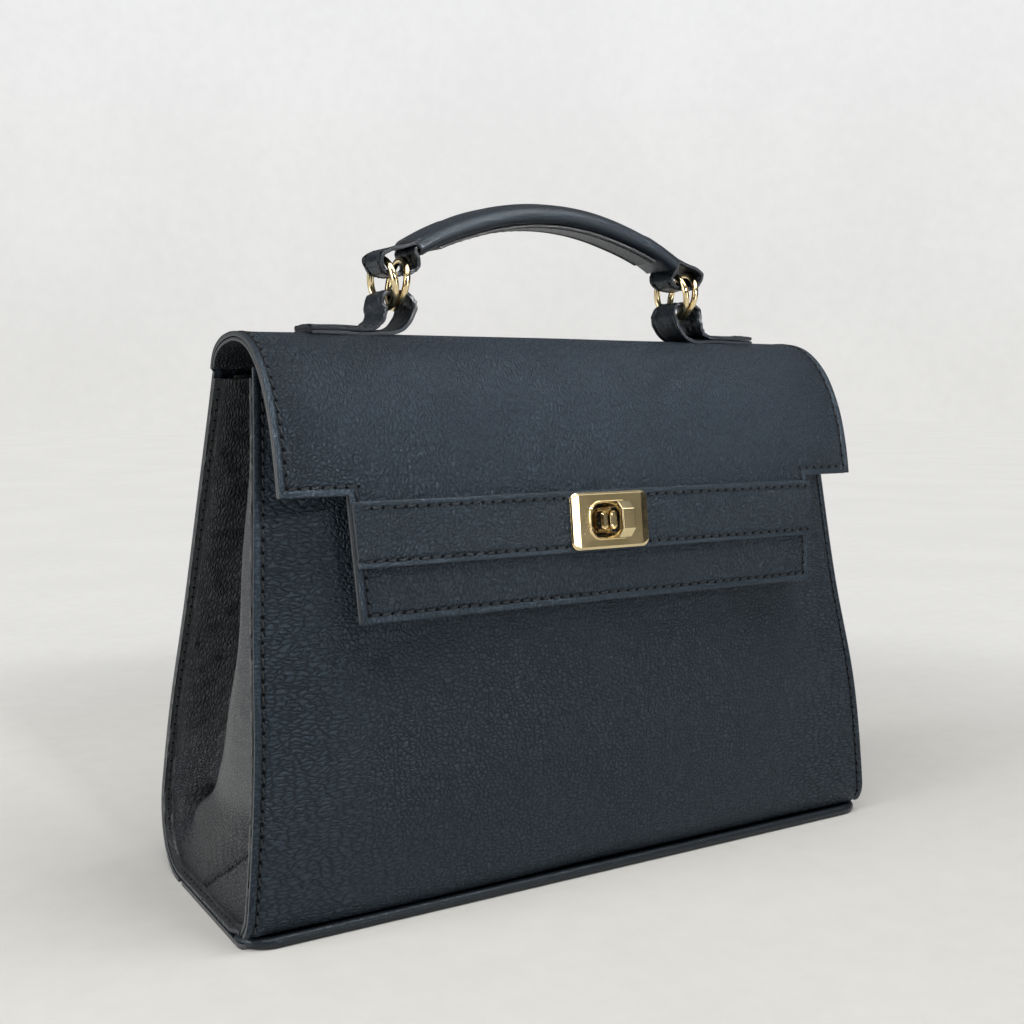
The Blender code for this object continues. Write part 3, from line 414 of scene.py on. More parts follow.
def gold_metal(name, colour, roughness):
    """Polished metal with a brushed bump far finer than a hair."""
    made, nodes, shader = material(name)
    place = in_space(nodes)
    hair = noise(nodes, stretched(nodes, place, 0.06, 1.0, 1.0), 5200.0, 2.0)
    scratch = noise(nodes, stretched(nodes, place, 1.0, 0.05, 0.8), 1600.0, 1.0)
    cloud = noise(nodes, place, 90.0, 3.0)
    lines = nodes.ramp(scratch, 0.66, 0.72)
    rough = nodes.math("MULTIPLY_ADD", nodes.ramp(cloud, 0.35, 0.7), 0.08, roughness)
    rough = nodes.math("MULTIPLY_ADD", lines, 0.10, rough)
    tone = nodes.mix(nodes.ramp(cloud, 0.35, 0.75, 0.0, 0.35), colour,
                     tuple(0.80 * c for c in colour))
    height = nodes.math("MULTIPLY_ADD", lines, -0.5, hair)
    nodes.set(shader, Base_Color=tone, Roughness=rough, Metallic=1.0,
              Normal=nodes.bump(height, GOLD_MARKS, 0.5))
    return made


gold = gold_metal("pale_gold", PALE_GOLD, 0.10)
print("materials", sorted(m.name for m in bpy.data.materials))

# %% [markdown]
# ## Smooth curves through a few heights
# The outlines of the bag are slow curves. They could be drawn as Bezier curves and converted
# to meshes. Here each is a short list of values with a cubic curve run through them, because
# the model was built from the same lists, and a formula can be asked for any point.


# %% Curves
def through(places, values, at):
    """A smooth curve through a few values: cubic pieces with the slopes of their neighbours."""
    places, values = np.asarray(places, float), np.asarray(values, float)
    slopes = np.gradient(values, places)
    at = np.clip(np.asarray(at, float), places[0], places[-1])
    i = np.clip(np.searchsorted(places, at) - 1, 0, len(places) - 2)
    step = places[i + 1] - places[i]
    t = (at - places[i]) / step
    return ((2 * t**3 - 3 * t**2 + 1) * values[i] + (t**3 - 2 * t**2 + t) * step * slopes[i]
            + (3 * t**2 - 2 * t**3) * values[i + 1] + (t**3 - t**2) * step * slopes[i + 1])


def travelled_along(points):
    """The distance from a line's first point to each of its points."""
    return np.concatenate(([0.0], np.cumsum(np.linalg.norm(np.diff(points, axis=0), axis=-1))))


def fade(value, low, high):
    """0 at low, 1 at high, smooth between."""
    t = np.clip((value - low) / (high - low), 0, 1)
    return t * t * (3 - 2 * t)


def unit(vectors):
    return vectors / np.maximum(np.linalg.norm(vectors, axis=-1, keepdims=True), 1e-12)


print("halfway up a smooth step:", fade(0.5, 0, 1))


# %% [markdown]
# ## The body's surfaces
# The front and the back are stiff panels that taper to the top, swell in their middle and roll
# in at the bottom. A cube could be sculpted towards that. The panels are formulas instead, with
# the model's own sizes, so that leather, lining and stitches can be laid on one surface or at
# an exact depth under it. Side -1 is the front, 1 the back.

# %% Sizes of the body
BASE_WIDTH, TOP_WIDTH, BODY_HEIGHT = 0.300, 0.265, 0.203
BASE_DEPTH, TOP_DEPTH, TOP_LEAN = 0.110, 0.044, 0.006
LEATHER, GAP, LAYER_GAP = 0.0018, 0.0003, 0.0005
SWELL = {-1: 0.0138, 1: 0.004}
ROLL = {-1: 0.014, 1: 0.030}
HEIGHTS = (0.0, 0.12, 0.30, 0.54, 0.79, 1.0)
DEPTHS = (1.0, 0.985, 0.89, 0.555, 0.26, 0.0)
SWELLS = (0.0, 0.08, 0.42, 0.88, 0.95, 0.20)
WIDTH_CURVE = 1.12


def half_width(z):
    share = np.clip(z / BODY_HEIGHT, 0, 1)
    return TOP_WIDTH / 2 + (BASE_WIDTH - TOP_WIDTH) / 2 * (1 - share)**WIDTH_CURVE


def edge_y(side, z):
    share = np.clip(z / BODY_HEIGHT, 0, 1)
    half = TOP_DEPTH / 2 + (BASE_DEPTH - TOP_DEPTH) / 2 * through(HEIGHTS, DEPTHS, share)
    return side * half - TOP_LEAN * share**2


def panel(side, u, v):
    """A panel's outer face: u across from -1 to 1, v from -1 up its roll, then 0 to 1 up."""
    u, v = np.broadcast_arrays(np.asarray(u, float), np.asarray(v, float))
    roll = ROLL[side]
    angle = np.clip(-v, 0, 1) * math.pi / 2
    rise = roll + (BODY_HEIGHT - roll) * np.clip(v, 0, 1)
    z = np.where(v < 0, roll * (1 - np.sin(angle)), rise)
    y = edge_y(side, rise) - side * roll * (1 - np.cos(angle))
    bulge = SWELL[side] * through(HEIGHTS, SWELLS, z / BODY_HEIGHT)
    return np.stack([-side * u * half_width(z), y + side * bulge * (1 - u * u), z], -1)


def panel_under(side, u, v, depth):
    """The panel's face moved inwards by a depth."""
    step = 0.0002
    across = panel(side, u + step, v) - panel(side, u - step, v)
    up = panel(side, u, v + step) - panel(side, u, v - step)
    return panel(side, u, v) - unit(np.cross(across, up)) * depth


print("body", BASE_WIDTH / MM, "by", BASE_DEPTH / MM, "by", BODY_HEIGHT / MM, "mm")

# %% [markdown]
# ## The flap's surface
# The flap arches over the crown and falls to the notches, and its tongue hangs straight below.
# Seen from the side this is one line. It could be a plane bent by a curve modifier. A line
# measured from the hinge is easier to sew along: each place is x and a distance from the hinge.

# %% Sizes and line of the flap
FLAP_WIDTH, TONGUE_WIDTH, TONGUE_LENGTH = 0.267, 0.216, 0.0455
TONGUE_TILT = math.radians(6.9)
HINGE = np.array([0.0, 0.016, 0.203])
CROWN = np.array([0.0, -0.010, 0.216])
FLAP_REACH, FLAP_DROP = 0.044, 0.0575
RISE = ((0, 0), (.05, .25), (.15, .52), (.42, .82), (.75, .965), (1, 1))
FALL = ((0, 0), (.355, .06), (.595, .20), (.81, .46), (.955, .81), (1, 1))

FLAP_POINTS = np.array(
    [HINGE + (CROWN - HINGE) * (0, ahead, up) for ahead, up in RISE]
    + [CROWN + np.array((0, -FLAP_REACH * ahead, -FLAP_DROP * down)) for ahead, down in FALL[1:]])
TONGUE_DOWN = np.array([0, -math.sin(TONGUE_TILT), -math.cos(TONGUE_TILT)])
FLAP_POINTS = np.vstack([FLAP_POINTS] + [FLAP_POINTS[-1] + TONGUE_DOWN * TONGUE_LENGTH * s
                                         for s in (0.5, 1.0)])
FLAP_PLACES = travelled_along(FLAP_POINTS)
FLAP_LENGTH = float(FLAP_PLACES[-1])
NOTCH = FLAP_LENGTH - TONGUE_LENGTH


def flap(x, place, depth=0.0):
    """The flap's face at a place along it from the hinge, moved inwards by a depth."""
    x, place = np.broadcast_arrays(np.asarray(x, float), np.asarray(place, float))

    def line(at):
        return np.stack([0 * at, through(FLAP_PLACES, FLAP_POINTS[:, 1], at),
                         through(FLAP_PLACES, FLAP_POINTS[:, 2], at)], -1)

    step = 0.0002 * FLAP_LENGTH
    along = unit(line(np.minimum(place + step, FLAP_LENGTH)) - line(np.maximum(place - step, 0)))
    inward = np.stack([0 * place, -along[..., 2], along[..., 1]], -1)
    points = line(place) + inward * depth
    points[..., 0] = x
    return points


print(f"flap length {FLAP_LENGTH:.4f}, notch at {NOTCH:.4f}")

# %% [markdown]
# ## Unevenness and sewn grooves
# No hide lies quite flat, and thread pulls a groove into it. Sculpting brushes could make both.
# Here they are heights added along each point's normal: slow waves from a seeded table, which
# come out the same each time, and a groove whose shape depends on the distance to its seam.


# %% Unevenness, grid lines and grooves
def uneven(a, b, size, seed):
    """Slow seeded unevenness from -1 to 1; size is the length of its waves."""
    side = 128
    table = np.random.default_rng(seed).uniform(-1, 1, (side, side))
    a, b = np.broadcast_arrays(np.asarray(a, float) / size, np.asarray(b, float) / size)
    i, j = np.floor(a).astype(int), np.floor(b).astype(int)
    s, t = a - i, b - j
    s, t = s * s * (3 - 2 * s), t * t * (3 - 2 * t)

    def at(p, q):
        return table[p % side, q % side]

    low = at(i, j) * (1 - s) + at(i + 1, j) * s
    high = at(i, j + 1) * (1 - s) + at(i + 1, j + 1) * s
    return low * (1 - t) + high * t


def lines(low, high, step, seams=(), rim=0.9 * MM, exact=()):
    """Grid lines from low to high, closer together round each seam, none close to the rims."""
    around = np.array([-1.6, -0.9, -0.45, 0.0, 0.45, 0.9, 1.6]) * MM
    close = [s + d for s in seams for d in around if low + rim * 0.8 < s + d < high - rim * 0.8]
    close = [c for c in close if all(abs(c - e) > 0.4 * MM for e in exact)] + list(exact)
    even = np.linspace(low + rim, high - rim, max(int((high - low) / step), 2))
    kept = [e for e in even if all(abs(e - c) > 0.45 * step for c in close)]
    return np.array(sorted([low, high] + kept + close))


def groove(distance, depth=0.44 * MM, width=0.80 * MM):
    """A sewn groove: the thread pulls the leather in, and it swells a little beside it."""
    lip = np.exp(-((np.abs(distance) - 2.2 * width) / (1.4 * width))**2)
    return -depth * np.exp(-(distance / width)**2) + 0.30 * depth * lip


def facing(line, out):
    """A run of stitches on a flat place, with one direction out of it."""
    return line, np.broadcast_to(out, line.shape)


def grid_normals(points):
    return unit(np.cross(np.gradient(points, axis=1), np.gradient(points, axis=0)))


print("a sewn groove is", round(float(-groove(0.0)) / MM, 2), "mm deep")


# %% [markdown]
# ## Making a sheet of leather
# A cut piece of hide has a face, a thickness and painted edges. Extruding by hand gives those
# too, but a script does it evenly: a fine grid of points makes the outer face, the Solidify
# modifier adds the thickness and the rim's paint, and a Bevel rounds the cut edges. The
# modifiers are then applied, so that the mesh is final.


# %% From a grid of points to a sheet
def add_numbers(mesh, grain, marks):
    """The UV map "grain", in metres, and the numbers painted on the points."""
    if grain is not None:
        layer = mesh.uv_layers.new(name="grain")
        corner = np.empty(len(mesh.loops), np.int32)
        mesh.loops.foreach_get("vertex_index", corner)
        layer.data.foreach_set("uv", np.asarray(grain, np.float32)[corner].ravel())
    for key, values in (marks or {}).items():
        mark = mesh.attributes.new(key, "FLOAT", "POINT")
        mark.data.foreach_set("value", np.asarray(values, np.float32).ravel())


def new_object(name, vertices, faces, materials, grain=None, marks=None):
    mesh = bpy.data.meshes.new(name)
    mesh.from_pydata(np.asarray(vertices).tolist(), [], [list(f) for f in faces])
    for one in materials:
        mesh.materials.append(one)
    add_numbers(mesh, grain, marks)
    mesh.validate()
    return in_scene(name, mesh)


def soften_edges(made, width, segments, angle):
    """A small rounding on every edge sharper than an angle in degrees."""
    soft = made.modifiers.new("edges", "BEVEL")
    soft.width = width
    soft.segments = segments
    soft.limit_method = "ANGLE"
    soft.angle_limit = math.radians(angle)


def apply_all(made):
    """Applies every modifier, so the mesh is final."""
    graph = bpy.context.evaluated_depsgraph_get()
    final = bpy.data.meshes.new_from_object(made.evaluated_get(graph), depsgraph=graph)
    made.modifiers.clear()
    made.data = final
    made.data.shade_smooth()
    return made


def grid_faces(rows, columns, close_rows=False, close_columns=False):
    """Quads over rows and columns of points, closed round either way if it is asked."""
    index = np.arange(rows * columns).reshape(rows, columns)
    if close_columns:
        index = np.column_stack([index, index[:, 0]])
    if close_rows:
        index = np.vstack([index, index[0]])
    return np.stack([index[:-1, :-1], index[:-1, 1:], index[1:, 1:], index[1:, :-1]], -1)


def pair(a, b):
    """Two numbers for each point of a grid."""
    return np.stack(np.broadcast_arrays(a, b), -1)


def sheet(name, points, grain, thickness, faces_of, relief=None, marks=None, skip=None,
          rim_round=0.5 * MM, rim=edge_paint, even=True, closed=False):
    """A sheet of leather from the points of its outer face. faces_of is its material."""
    rows, columns = points.shape[:2]
    if relief is not None:
        points = points + grid_normals(points) * relief[..., None]
    quads = grid_faces(rows, columns, close_columns=closed)
    quads = quads[~skip] if skip is not None else quads.reshape(-1, 4)
    used = np.unique(quads)
    moved = np.zeros(rows * columns, int)
    moved[used] = np.arange(len(used))
    marks = {key: np.broadcast_to(value, (rows, columns)).reshape(-1)[used]
             for key, value in (marks or {"drawn": 0.0, "pressed": 0.0}).items()}
    made = new_object(name, points.reshape(-1, 3)[used], moved[quads], [faces_of, rim],
                      grain.reshape(-1, 2)[used], marks)
    solid = made.modifiers.new("thickness", "SOLIDIFY")
    solid.thickness = thickness
    solid.offset = -1.0
    solid.use_even_offset = even
    solid.material_offset_rim = 1
    soften_edges(made, rim_round, 3, 55)
    return apply_all(made)


def finish_piece(made, body, slot, *nodes):
    """Says what a piece rides on and which nodes it stands for; slot, which finish it takes, is
    not used.
    """
    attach(made, body)
    if nodes:
        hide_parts(*nodes)
    return made


print("3 by 3 points have", grid_faces(3, 3).size // 4, "faces between them")


# %% [markdown]
# ## The shape of a stitch
# A sewn line is a row of short slanted threads, each diving into a needle hole that lies in
# shade. A textured strip could stand for it, but would lie flat. Every thread here is a small
# rounded pod with its ends pulled down into the leather, and every hole is a flatter one, painted
# near black as its shade.


# %% Places and pods
def walk(points, normals, pitch):
    """Places a pitch apart along a line of points, with direction and outward normal."""
    along = travelled_along(points)
    count = max(int(along[-1] / pitch), 1)
    at = (np.arange(count) + 0.5) * along[-1] / count

    def found(values, at):
        return np.stack([np.interp(at, along, values[:, k]) for k in range(3)], -1)

    ahead = unit(found(points, at + 0.2 * MM) - found(points, at - 0.2 * MM))
    return found(points, at), ahead, unit(found(normals, at))


def pods(place, along, out, length, radius, squash, lift, slant):
    """Long rounded pods at places, for threads and holes: points, sides, caps and UV."""
    rings, sides = 5, 6
    t = np.linspace(-1, 1, rings + 2)[1:-1]
    girth = np.sqrt(1 - t**4 * 0.92)
    turn = np.arange(sides) / sides * 2 * math.pi
    side = unit(np.cross(out, along))
    direction = unit(along * math.cos(slant) + side * math.sin(slant))
    side = unit(np.cross(out, direction))
    shape, uv = [], []
    for k in range(-1, rings + 1):
        if k in (-1, rings):
            end = -1.06 if k < 0 else 1.06
            shape.append((end * length / 2, 0, -0.9 * radius))
            uv.append((end * length / 2, 0))
            continue
        for a in turn:
            shape.append((t[k] * length / 2, math.cos(a) * radius * girth[k],
                          math.sin(a) * radius * squash * girth[k] - 0.9 * radius * t[k]**4))
            uv.append((t[k] * length / 2, a * radius))
    shape = np.array(shape)
    points = (place[:, None] + direction[:, None] * shape[None, :, 0:1]
              + side[:, None] * shape[None, :, 1:2] + out[:, None] * (shape[None, :, 2:3] + lift))
    faces = (grid_faces(rings, sides, close_columns=True) + 1).reshape(-1, 4).tolist()
    caps = [(0, 1 + (a + 1) % sides, 1 + a) for a in range(sides)]
    last = 1 + rings * sides
    caps += [(last, last - sides + a, last - sides + (a + 1) % sides) for a in range(sides)]
    return points, faces, caps, np.array(uv)


ends = np.array([(0.0, 0, 0), (0.1, 0, 0)])
print("100 mm sewn at a pitch of 5 mm:", len(walk(ends, ends, 5 * MM)[0]), "threads")


# %% [markdown]
# ## A run of stitches
# Each run is given by the points that it passes and the direction out of the leather. Threads
# could be separate objects, set along a curve by an array. All threads and holes of a piece are
# one mesh instead, because hundreds of objects are slow to load and to move.

# %% Runs of stitches
PITCH = 4.4 * MM
THREAD = 0.30 * MM
HOLE_LENGTH, HOLE_RADIUS = 1.25 * MM, 0.52 * MM


def stitches(name, runs, body, pitch=PITCH, length=3.3 * MM, radius=THREAD, slant=0.20,
             blend_with=None):
    """One piece that holds every thread and hole of several runs."""
    vertices, faces, grain, kinds = [], [], [], []
    total = 0
    for points, normals in runs:
        place, along, out = walk(np.asarray(points), np.asarray(normals), pitch)
        gap = place + along * pitch / 2
        for where, size, wide, flat, lift, turn, kind in (
                (place, length, radius, 0.9, 0.04 * MM, slant, 0),
                (gap, HOLE_LENGTH, HOLE_RADIUS, 0.45, -0.02 * MM, slant, 1)):
            made, quads, caps, uv = pods(where, along, out, size, wide, flat, lift, turn)
            for one in made:
                vertices.append(one)
                faces += [tuple(f + total for f in face) for face in quads + caps]
                kinds += [kind] * (len(quads) + len(caps))
                grain.append(uv)
                total += len(one)
    mesh = bpy.data.meshes.new(name)
    mesh.from_pydata(np.concatenate(vertices).tolist(), [], faces)
    mesh.materials.append(thread)
    # the holes take the near-black painted shade
    mesh.materials.append(stitch_hole_shade)
    mesh.polygons.foreach_set("material_index", kinds)
    add_numbers(mesh, np.concatenate(grain), None)
    mesh.shade_smooth()
    made = in_scene(name, mesh)
    if blend_with is None:
        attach(made, body)
    else:
        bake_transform(made)
    return made


print("threads", THREAD / MM, "mm in radius, every", PITCH / MM, "mm")


# %% [markdown]
# ## Front panel
# The front is a stiff panel that swells in its middle, with a sewn edge down each side. Its
# grain is drawn out towards the seams, and lies flatter beside the edge and low down, where
# the bag is handled. A plane could be shrinkwrapped over the solid. Rows and columns laid on
# the panel's own formula run parallel to the seams instead, so the grooves stay sharp.

# %% Rows and columns of a panel
STEP = 1.9 * MM
EDGE_TO_SEAM = 3.3 * MM


def panel_rows(side, low_v):
    """Rows up a panel: v and the distance travelled along its middle."""
    rolled = np.linspace(low_v, 0, 12)[:-1] if low_v < 0 else np.array([])
    rise = lines(ROLL[side], BODY_HEIGHT, STEP)
    v = np.concatenate((rolled, (rise - ROLL[side]) / (BODY_HEIGHT - ROLL[side])))
    return v, travelled_along(panel(side, 0.0, v))


def spread(columns, half, reference):
    """Columns set at a reference half width, drawn to another half width at their edges."""
    pull = fade(np.abs(columns), 0.1 * reference, 0.8 * reference)
    return columns - np.sign(columns) * (reference - half) * pull


def drawn_at(x, z):
    """How far the grain is drawn out: near the side seams and low down."""
    near = fade(np.abs(x), 0.088, 0.128)
    wander = 0.25 * uneven(x, z, 0.012, 5)
    under_tongue = 0.55 * np.exp(-((z - 0.112) / 0.012)**2) * (1 - near)
    return np.clip(near + 0.35 * fade(-z, -0.060, -0.025) + wander - under_tongue, -0.9, 1)


print("rows up the front:", len(panel_rows(-1, 0.0)[0]))


# %% Front panel
WELT_RADIUS = 0.0021
FRONT_BOTTOM = 2 * WELT_RADIUS + GAP

low_v = -math.asin(1 - FRONT_BOTTOM / ROLL[-1]) / (math.pi / 2)
v, travelled = panel_rows(-1, low_v)
reference = BASE_WIDTH / 2
columns = lines(-reference, reference, STEP, (-reference + EDGE_TO_SEAM,
                                             reference - EDGE_TO_SEAM))
z = panel(-1, 0.0, v)[:, 2][:, None]
x = spread(columns, half_width(z), reference)
points = panel(-1, x / half_width(z), v[:, None])
from_edge = half_width(z) - np.abs(x)
sag = 0.55 * MM * uneven(x, z, 0.055, 3) * fade(from_edge, 0.006, 0.05)
relief = groove(from_edge - EDGE_TO_SEAM) + sag
smoother_low = 0.60 * (1 - fade(z, 0.020, 0.100))
pressed = np.maximum(1 - fade(from_edge, 2.2 * MM, 4.6 * MM), smoother_low)
marks = {"drawn": drawn_at(x, z), "pressed": pressed}
grain = pair(x, travelled[:, None])
front_panel = sheet("front_panel_leather", points, grain, LEATHER, leather, relief, marks)
finish_piece(front_panel, "bag", "shell_leather", "front_panel")
print("front panel", len(front_panel.data.polygons), "faces")


# %% Front panel's stitches
def panel_seam(side, sign, low, high):
    """The sewn line down one side of a panel, with its outward normals."""
    v = np.linspace(low, high, 60)
    z = panel(side, 0.0, v)[:, 2]
    u = sign * (1 - EDGE_TO_SEAM / half_width(z))
    outer = panel(side, u, v)
    return outer, unit(outer - panel_under(side, u, v, 0.001))


stitches("front_panel_stitches", [panel_seam(-1, s, low_v + 0.1, 0.985) for s in (-1, 1)],
         "bag")
print("front panel sewn", EDGE_TO_SEAM / MM, "mm from its edges")

# %% [markdown]
# ## Outline of the flap
# The flap is as wide as the crown down to two notches, and below them only its tongue goes on,
# with a window for the lock. The notches and the window could be cut with Boolean modifiers,
# which leave ragged faces. Here grid lines run exactly along each edge, and the cells outside
# are left out of the mesh.

# %% Outline of the flap
FLAP_SEAM = 3.0 * MM
FLAP_HALF = FLAP_WIDTH / 2
TONGUE_HALF = TONGUE_WIDTH / 2
TONGUE_TAPER = 2.0 * MM
BLEND = ("bag", "flap", (0, 0.0165, 0.203), (0, 0.009, 0.203))


def flap_x(columns, place):
    """Columns of the flap, with the tongue drawn in a little towards its end."""
    share = np.clip((place - NOTCH) / TONGUE_LENGTH, 0, 1)
    return columns * (1 - TONGUE_TAPER / TONGUE_HALF * share)


BAND_BELOW_NOTCH, BAND_HEIGHT = 0.0025, 0.0235
LOCK_PLACE = NOTCH + BAND_BELOW_NOTCH + BAND_HEIGHT / 2
LOCK_CUT_X = (-0.0099, 0.0099)
LOCK_CUT_PLACES = (LOCK_PLACE - 0.0072, LOCK_PLACE + 0.0072)
EXACTLY = 1e-6


def lock_cut(columns, rows):
    """Cells cut out of the leather behind the lock's window."""
    low_x, high_x = np.minimum(columns[:-1], columns[1:]), np.maximum(columns[:-1], columns[1:])
    across = (low_x > LOCK_CUT_X[0] - EXACTLY) & (high_x < LOCK_CUT_X[1] + EXACTLY)
    along = ((rows[:-1] > LOCK_CUT_PLACES[0] - EXACTLY)
             & (rows[1:] < LOCK_CUT_PLACES[1] + EXACTLY))
    return along[:, None] & across[None, :]


def flap_columns(step):
    seams = [s * h for s in (-1, 1) for h in (FLAP_HALF - FLAP_SEAM, TONGUE_HALF - FLAP_SEAM)]
    found = lines(-FLAP_HALF, FLAP_HALF, step, seams, exact=LOCK_CUT_X)
    found = [c for c in found if abs(abs(c) - TONGUE_HALF) > 0.8 * MM]
    return np.array(sorted(found + [-TONGUE_HALF, TONGUE_HALF]))[::-1]


def flap_rows(step, start=0.0):
    arch = lines(start, NOTCH, step, (NOTCH - FLAP_SEAM,))
    tongue = lines(NOTCH, FLAP_LENGTH, step, (FLAP_LENGTH - FLAP_SEAM,),
                   exact=LOCK_CUT_PLACES)[1:]
    return np.concatenate((arch, tongue))


def seam_distance(x, place):
    """How far a point of the flap lies from its sewn line, which follows its outline inside."""
    inside_side = FLAP_HALF - FLAP_SEAM - np.abs(x)
    inside_tongue = flap_x(TONGUE_HALF, place) - FLAP_SEAM - np.abs(x)
    to_notch = NOTCH - FLAP_SEAM - place
    upper = np.minimum(inside_side, to_notch)
    lower = np.minimum(inside_tongue, FLAP_LENGTH - FLAP_SEAM - place)
    return np.maximum(upper, lower)


def in_notch(columns, rows):
    """Cells beside the tongue, below the notches."""
    beside = np.abs(columns) > TONGUE_HALF - EXACTLY
    below = rows[:-1] > NOTCH - EXACTLY
    return below[:, None] & (beside[:-1] & beside[1:])[None, :]


print("tongue", TONGUE_WIDTH / MM, "mm wide")


# %% [markdown]
# ## Back panel and flap
# One hide rolls under the bag, climbs the back, bends over the top and comes down the front to
# the notches and the tongue. It could be a back and a flap that meet at the hinge, but the two
# would part when the flap opens. Here it is one sheet, whose points are left where they lie, on
# no body of its own.

# %% Back panel and flap
back_v, back_travelled = panel_rows(1, -1.0)
back_v, back_travelled = back_v[:-1], back_travelled[:-1]
columns = flap_columns(STEP)
places = flap_rows(STEP)
place = places[:, None]
back_z = panel(1, 0.0, back_v)[:, 2][:, None]
back_x = spread(columns, half_width(back_z), FLAP_HALF)
back_points = panel(1, -back_x / half_width(back_z), back_v[:, None])
front_x = flap_x(columns, place)
flap_points = flap(front_x, place)
points = np.concatenate((back_points, flap_points))
x = np.concatenate((back_x, front_x))
along = np.concatenate((back_travelled, back_travelled[-1] + STEP + places))

back_edge = half_width(back_z) - np.abs(back_x)
back_relief = (groove(back_edge - FLAP_SEAM)
               + 0.5 * MM * uneven(back_x, back_z, 0.06, 8) * fade(back_edge, 0.006, 0.05)
               * fade(-np.abs(back_z - 0.1), -0.1, -0.06))
seam = seam_distance(front_x, place)
flap_relief = groove(seam) * fade(place, 0.0, 0.004)
flap_relief += (0.35 * MM * uneven(front_x, place, 0.05, 12) * fade(seam, 0.002, 0.02)
                * fade(place, 0.004, 0.02) * fade(-place, -NOTCH, -0.09))
relief = np.concatenate((back_relief, flap_relief))
pressed = 1 - np.concatenate((fade(back_edge, 2.2 * MM, 4.6 * MM),
                              fade(seam, -0.8 * MM, 1.2 * MM)))
down = 0.55 + 0.30 * uneven(front_x, place, 0.016, 14)
down *= 1 - 0.75 * fade(-seam, -0.020, -0.004) * fade(np.abs(front_x), 0.085, 0.110)
drawn = np.concatenate((drawn_at(back_x, back_z), -np.clip(down, 0, 0.95)))
skip = np.zeros((len(points) - 1, len(columns) - 1), bool)
skip[len(back_v):] = in_notch(columns, places) | lock_cut(columns, places)
grain = pair(x, along[:, None])
back_flap = sheet("back_and_flap_leather", points, grain, LEATHER, leather, relief,
                  {"drawn": drawn, "pressed": pressed}, skip, rim=flap_edge)
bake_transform(back_flap)
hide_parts("back_panel", "flap_outer")
print("back and flap", *points.shape[:2], "points up and across")

# %% The flap's inner leather
FLAP_LEATHER, FLAP_BACKING = 0.0018, 0.0014

places = flap_rows(2.5 * MM, 0.9 * MM)
columns = flap_columns(3.0 * MM)
x = flap_x(columns[None, :], places[:, None])
points = flap(x, places[:, None], FLAP_LEATHER + GAP)
grain = pair(x, places[:, None])
flap_lining = sheet("flap_inner_leather", points, grain, FLAP_BACKING, soft_leather, None, None,
                    in_notch(columns, places) | lock_cut(columns, places))
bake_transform(flap_lining)
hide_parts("flap_lining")
print("back and flap", len(back_flap.data.polygons), "faces")

# %% [markdown]
# ## Sewn lines of the flap and the back
# The flap is sewn just inside its outline: down each side, in along each notch, down the tongue
# and across its end. A curve could be drawn on the flap and snapped to it. Corners given as x
# and a place along the flap are enough here, because the flap's formula lifts them onto the
# leather, and its inward direction gives the threads their normals.

# %% Flap and back stitches
def between_corners(corners, count):
    """Points along straight lines; count gives how many a line of some length has."""
    found = []
    for (x0, y0), (x1, y1) in zip(corners, corners[1:]):
        t = np.linspace(0, 1, count(math.hypot(x1 - x0, y1 - y0)))
        found.append(pair(x0 + (x1 - x0) * t, y0 + (y1 - y0) * t))
    return np.concatenate(found)


def flap_run(corners, depth=0.0):
    """Points and normals along straight lines between (x, place) corners on the flap."""
    x, place = between_corners(corners, lambda length: max(int(length / MM), 2)).T
    points = flap(x, place, depth)
    return points, unit(points - flap(x, place, depth + 0.001))


notch_line = NOTCH - FLAP_SEAM
side_line, tongue_line = FLAP_HALF - FLAP_SEAM, TONGUE_HALF - FLAP_SEAM
end_line, end_x = FLAP_LENGTH - FLAP_SEAM, TONGUE_HALF - TONGUE_TAPER - FLAP_SEAM
flap_runs = [flap_run([(s * side_line, 0.005), (s * side_line, notch_line),
                       (s * tongue_line, notch_line), (s * end_x, end_line)]) for s in (-1, 1)]
flap_runs.append(flap_run([(-end_x, end_line), (end_x, end_line)]))
print("flap sewn in", len(flap_runs), "runs")
stitches("flap_stitches", flap_runs, None, blend_with=BLEND)
stitches("back_panel_stitches", [panel_seam(1, s, -0.5, 0.93) for s in (-1, 1)], "bag")

# %% [markdown]
# ## The folded sides
# Each side is one soft piece. Beside the front seam it bulges in a smooth strip that widens
# downwards; behind its crest it drops into a deep valley, which ends in a pit near the base.
# A cloth simulation could fold it, but not the same each time. Here a formula says how wide the
# strip and how deep the valley are at each height, and the lining can follow the same wall.

# %% Shape of the fold
GUSSET_LEATHER, SEAM_FLANGE, GUSSET_DROP, BASE_TOP = 0.0014, 0.0034, 0.004, 0.0020
WALL_DEPTH = LEATHER + LAYER_GAP + GUSSET_LEATHER
WALL_LOW = BASE_TOP + GAP + GUSSET_LEATHER
WALL_HIGH = BODY_HEIGHT - GUSSET_DROP
STRIP_WIDTHS = ((0.0, 0.78), (0.024, 0.74), (0.033, 0.64), (0.042, 0.50), (0.055, 0.42),
                (0.080, 0.35), (0.104, 0.24), (0.136, 0.20), (0.170, 0.06), (0.203, 0.02))
FOLD_DEPTHS = ((0.0, 0.0), (0.012, 0.0), (0.020, 0.0010), (0.028, 0.0050), (0.036, 0.0100),
               (0.046, 0.0135), (0.061, 0.0160), (0.095, 0.0205), (0.130, 0.0230),
               (0.160, 0.0240), (0.203, 0.0195))
PIT = (0.0365, 0.0275)


def edge_line(side, depth):
    """Heights and places of a panel's inner edge, where the gusset meets it."""
    v = np.linspace(-0.94, 1, 160)
    found = panel_under(side, np.full_like(v, 0.9999), v, depth)
    return found[:, 2], found[:, 1]


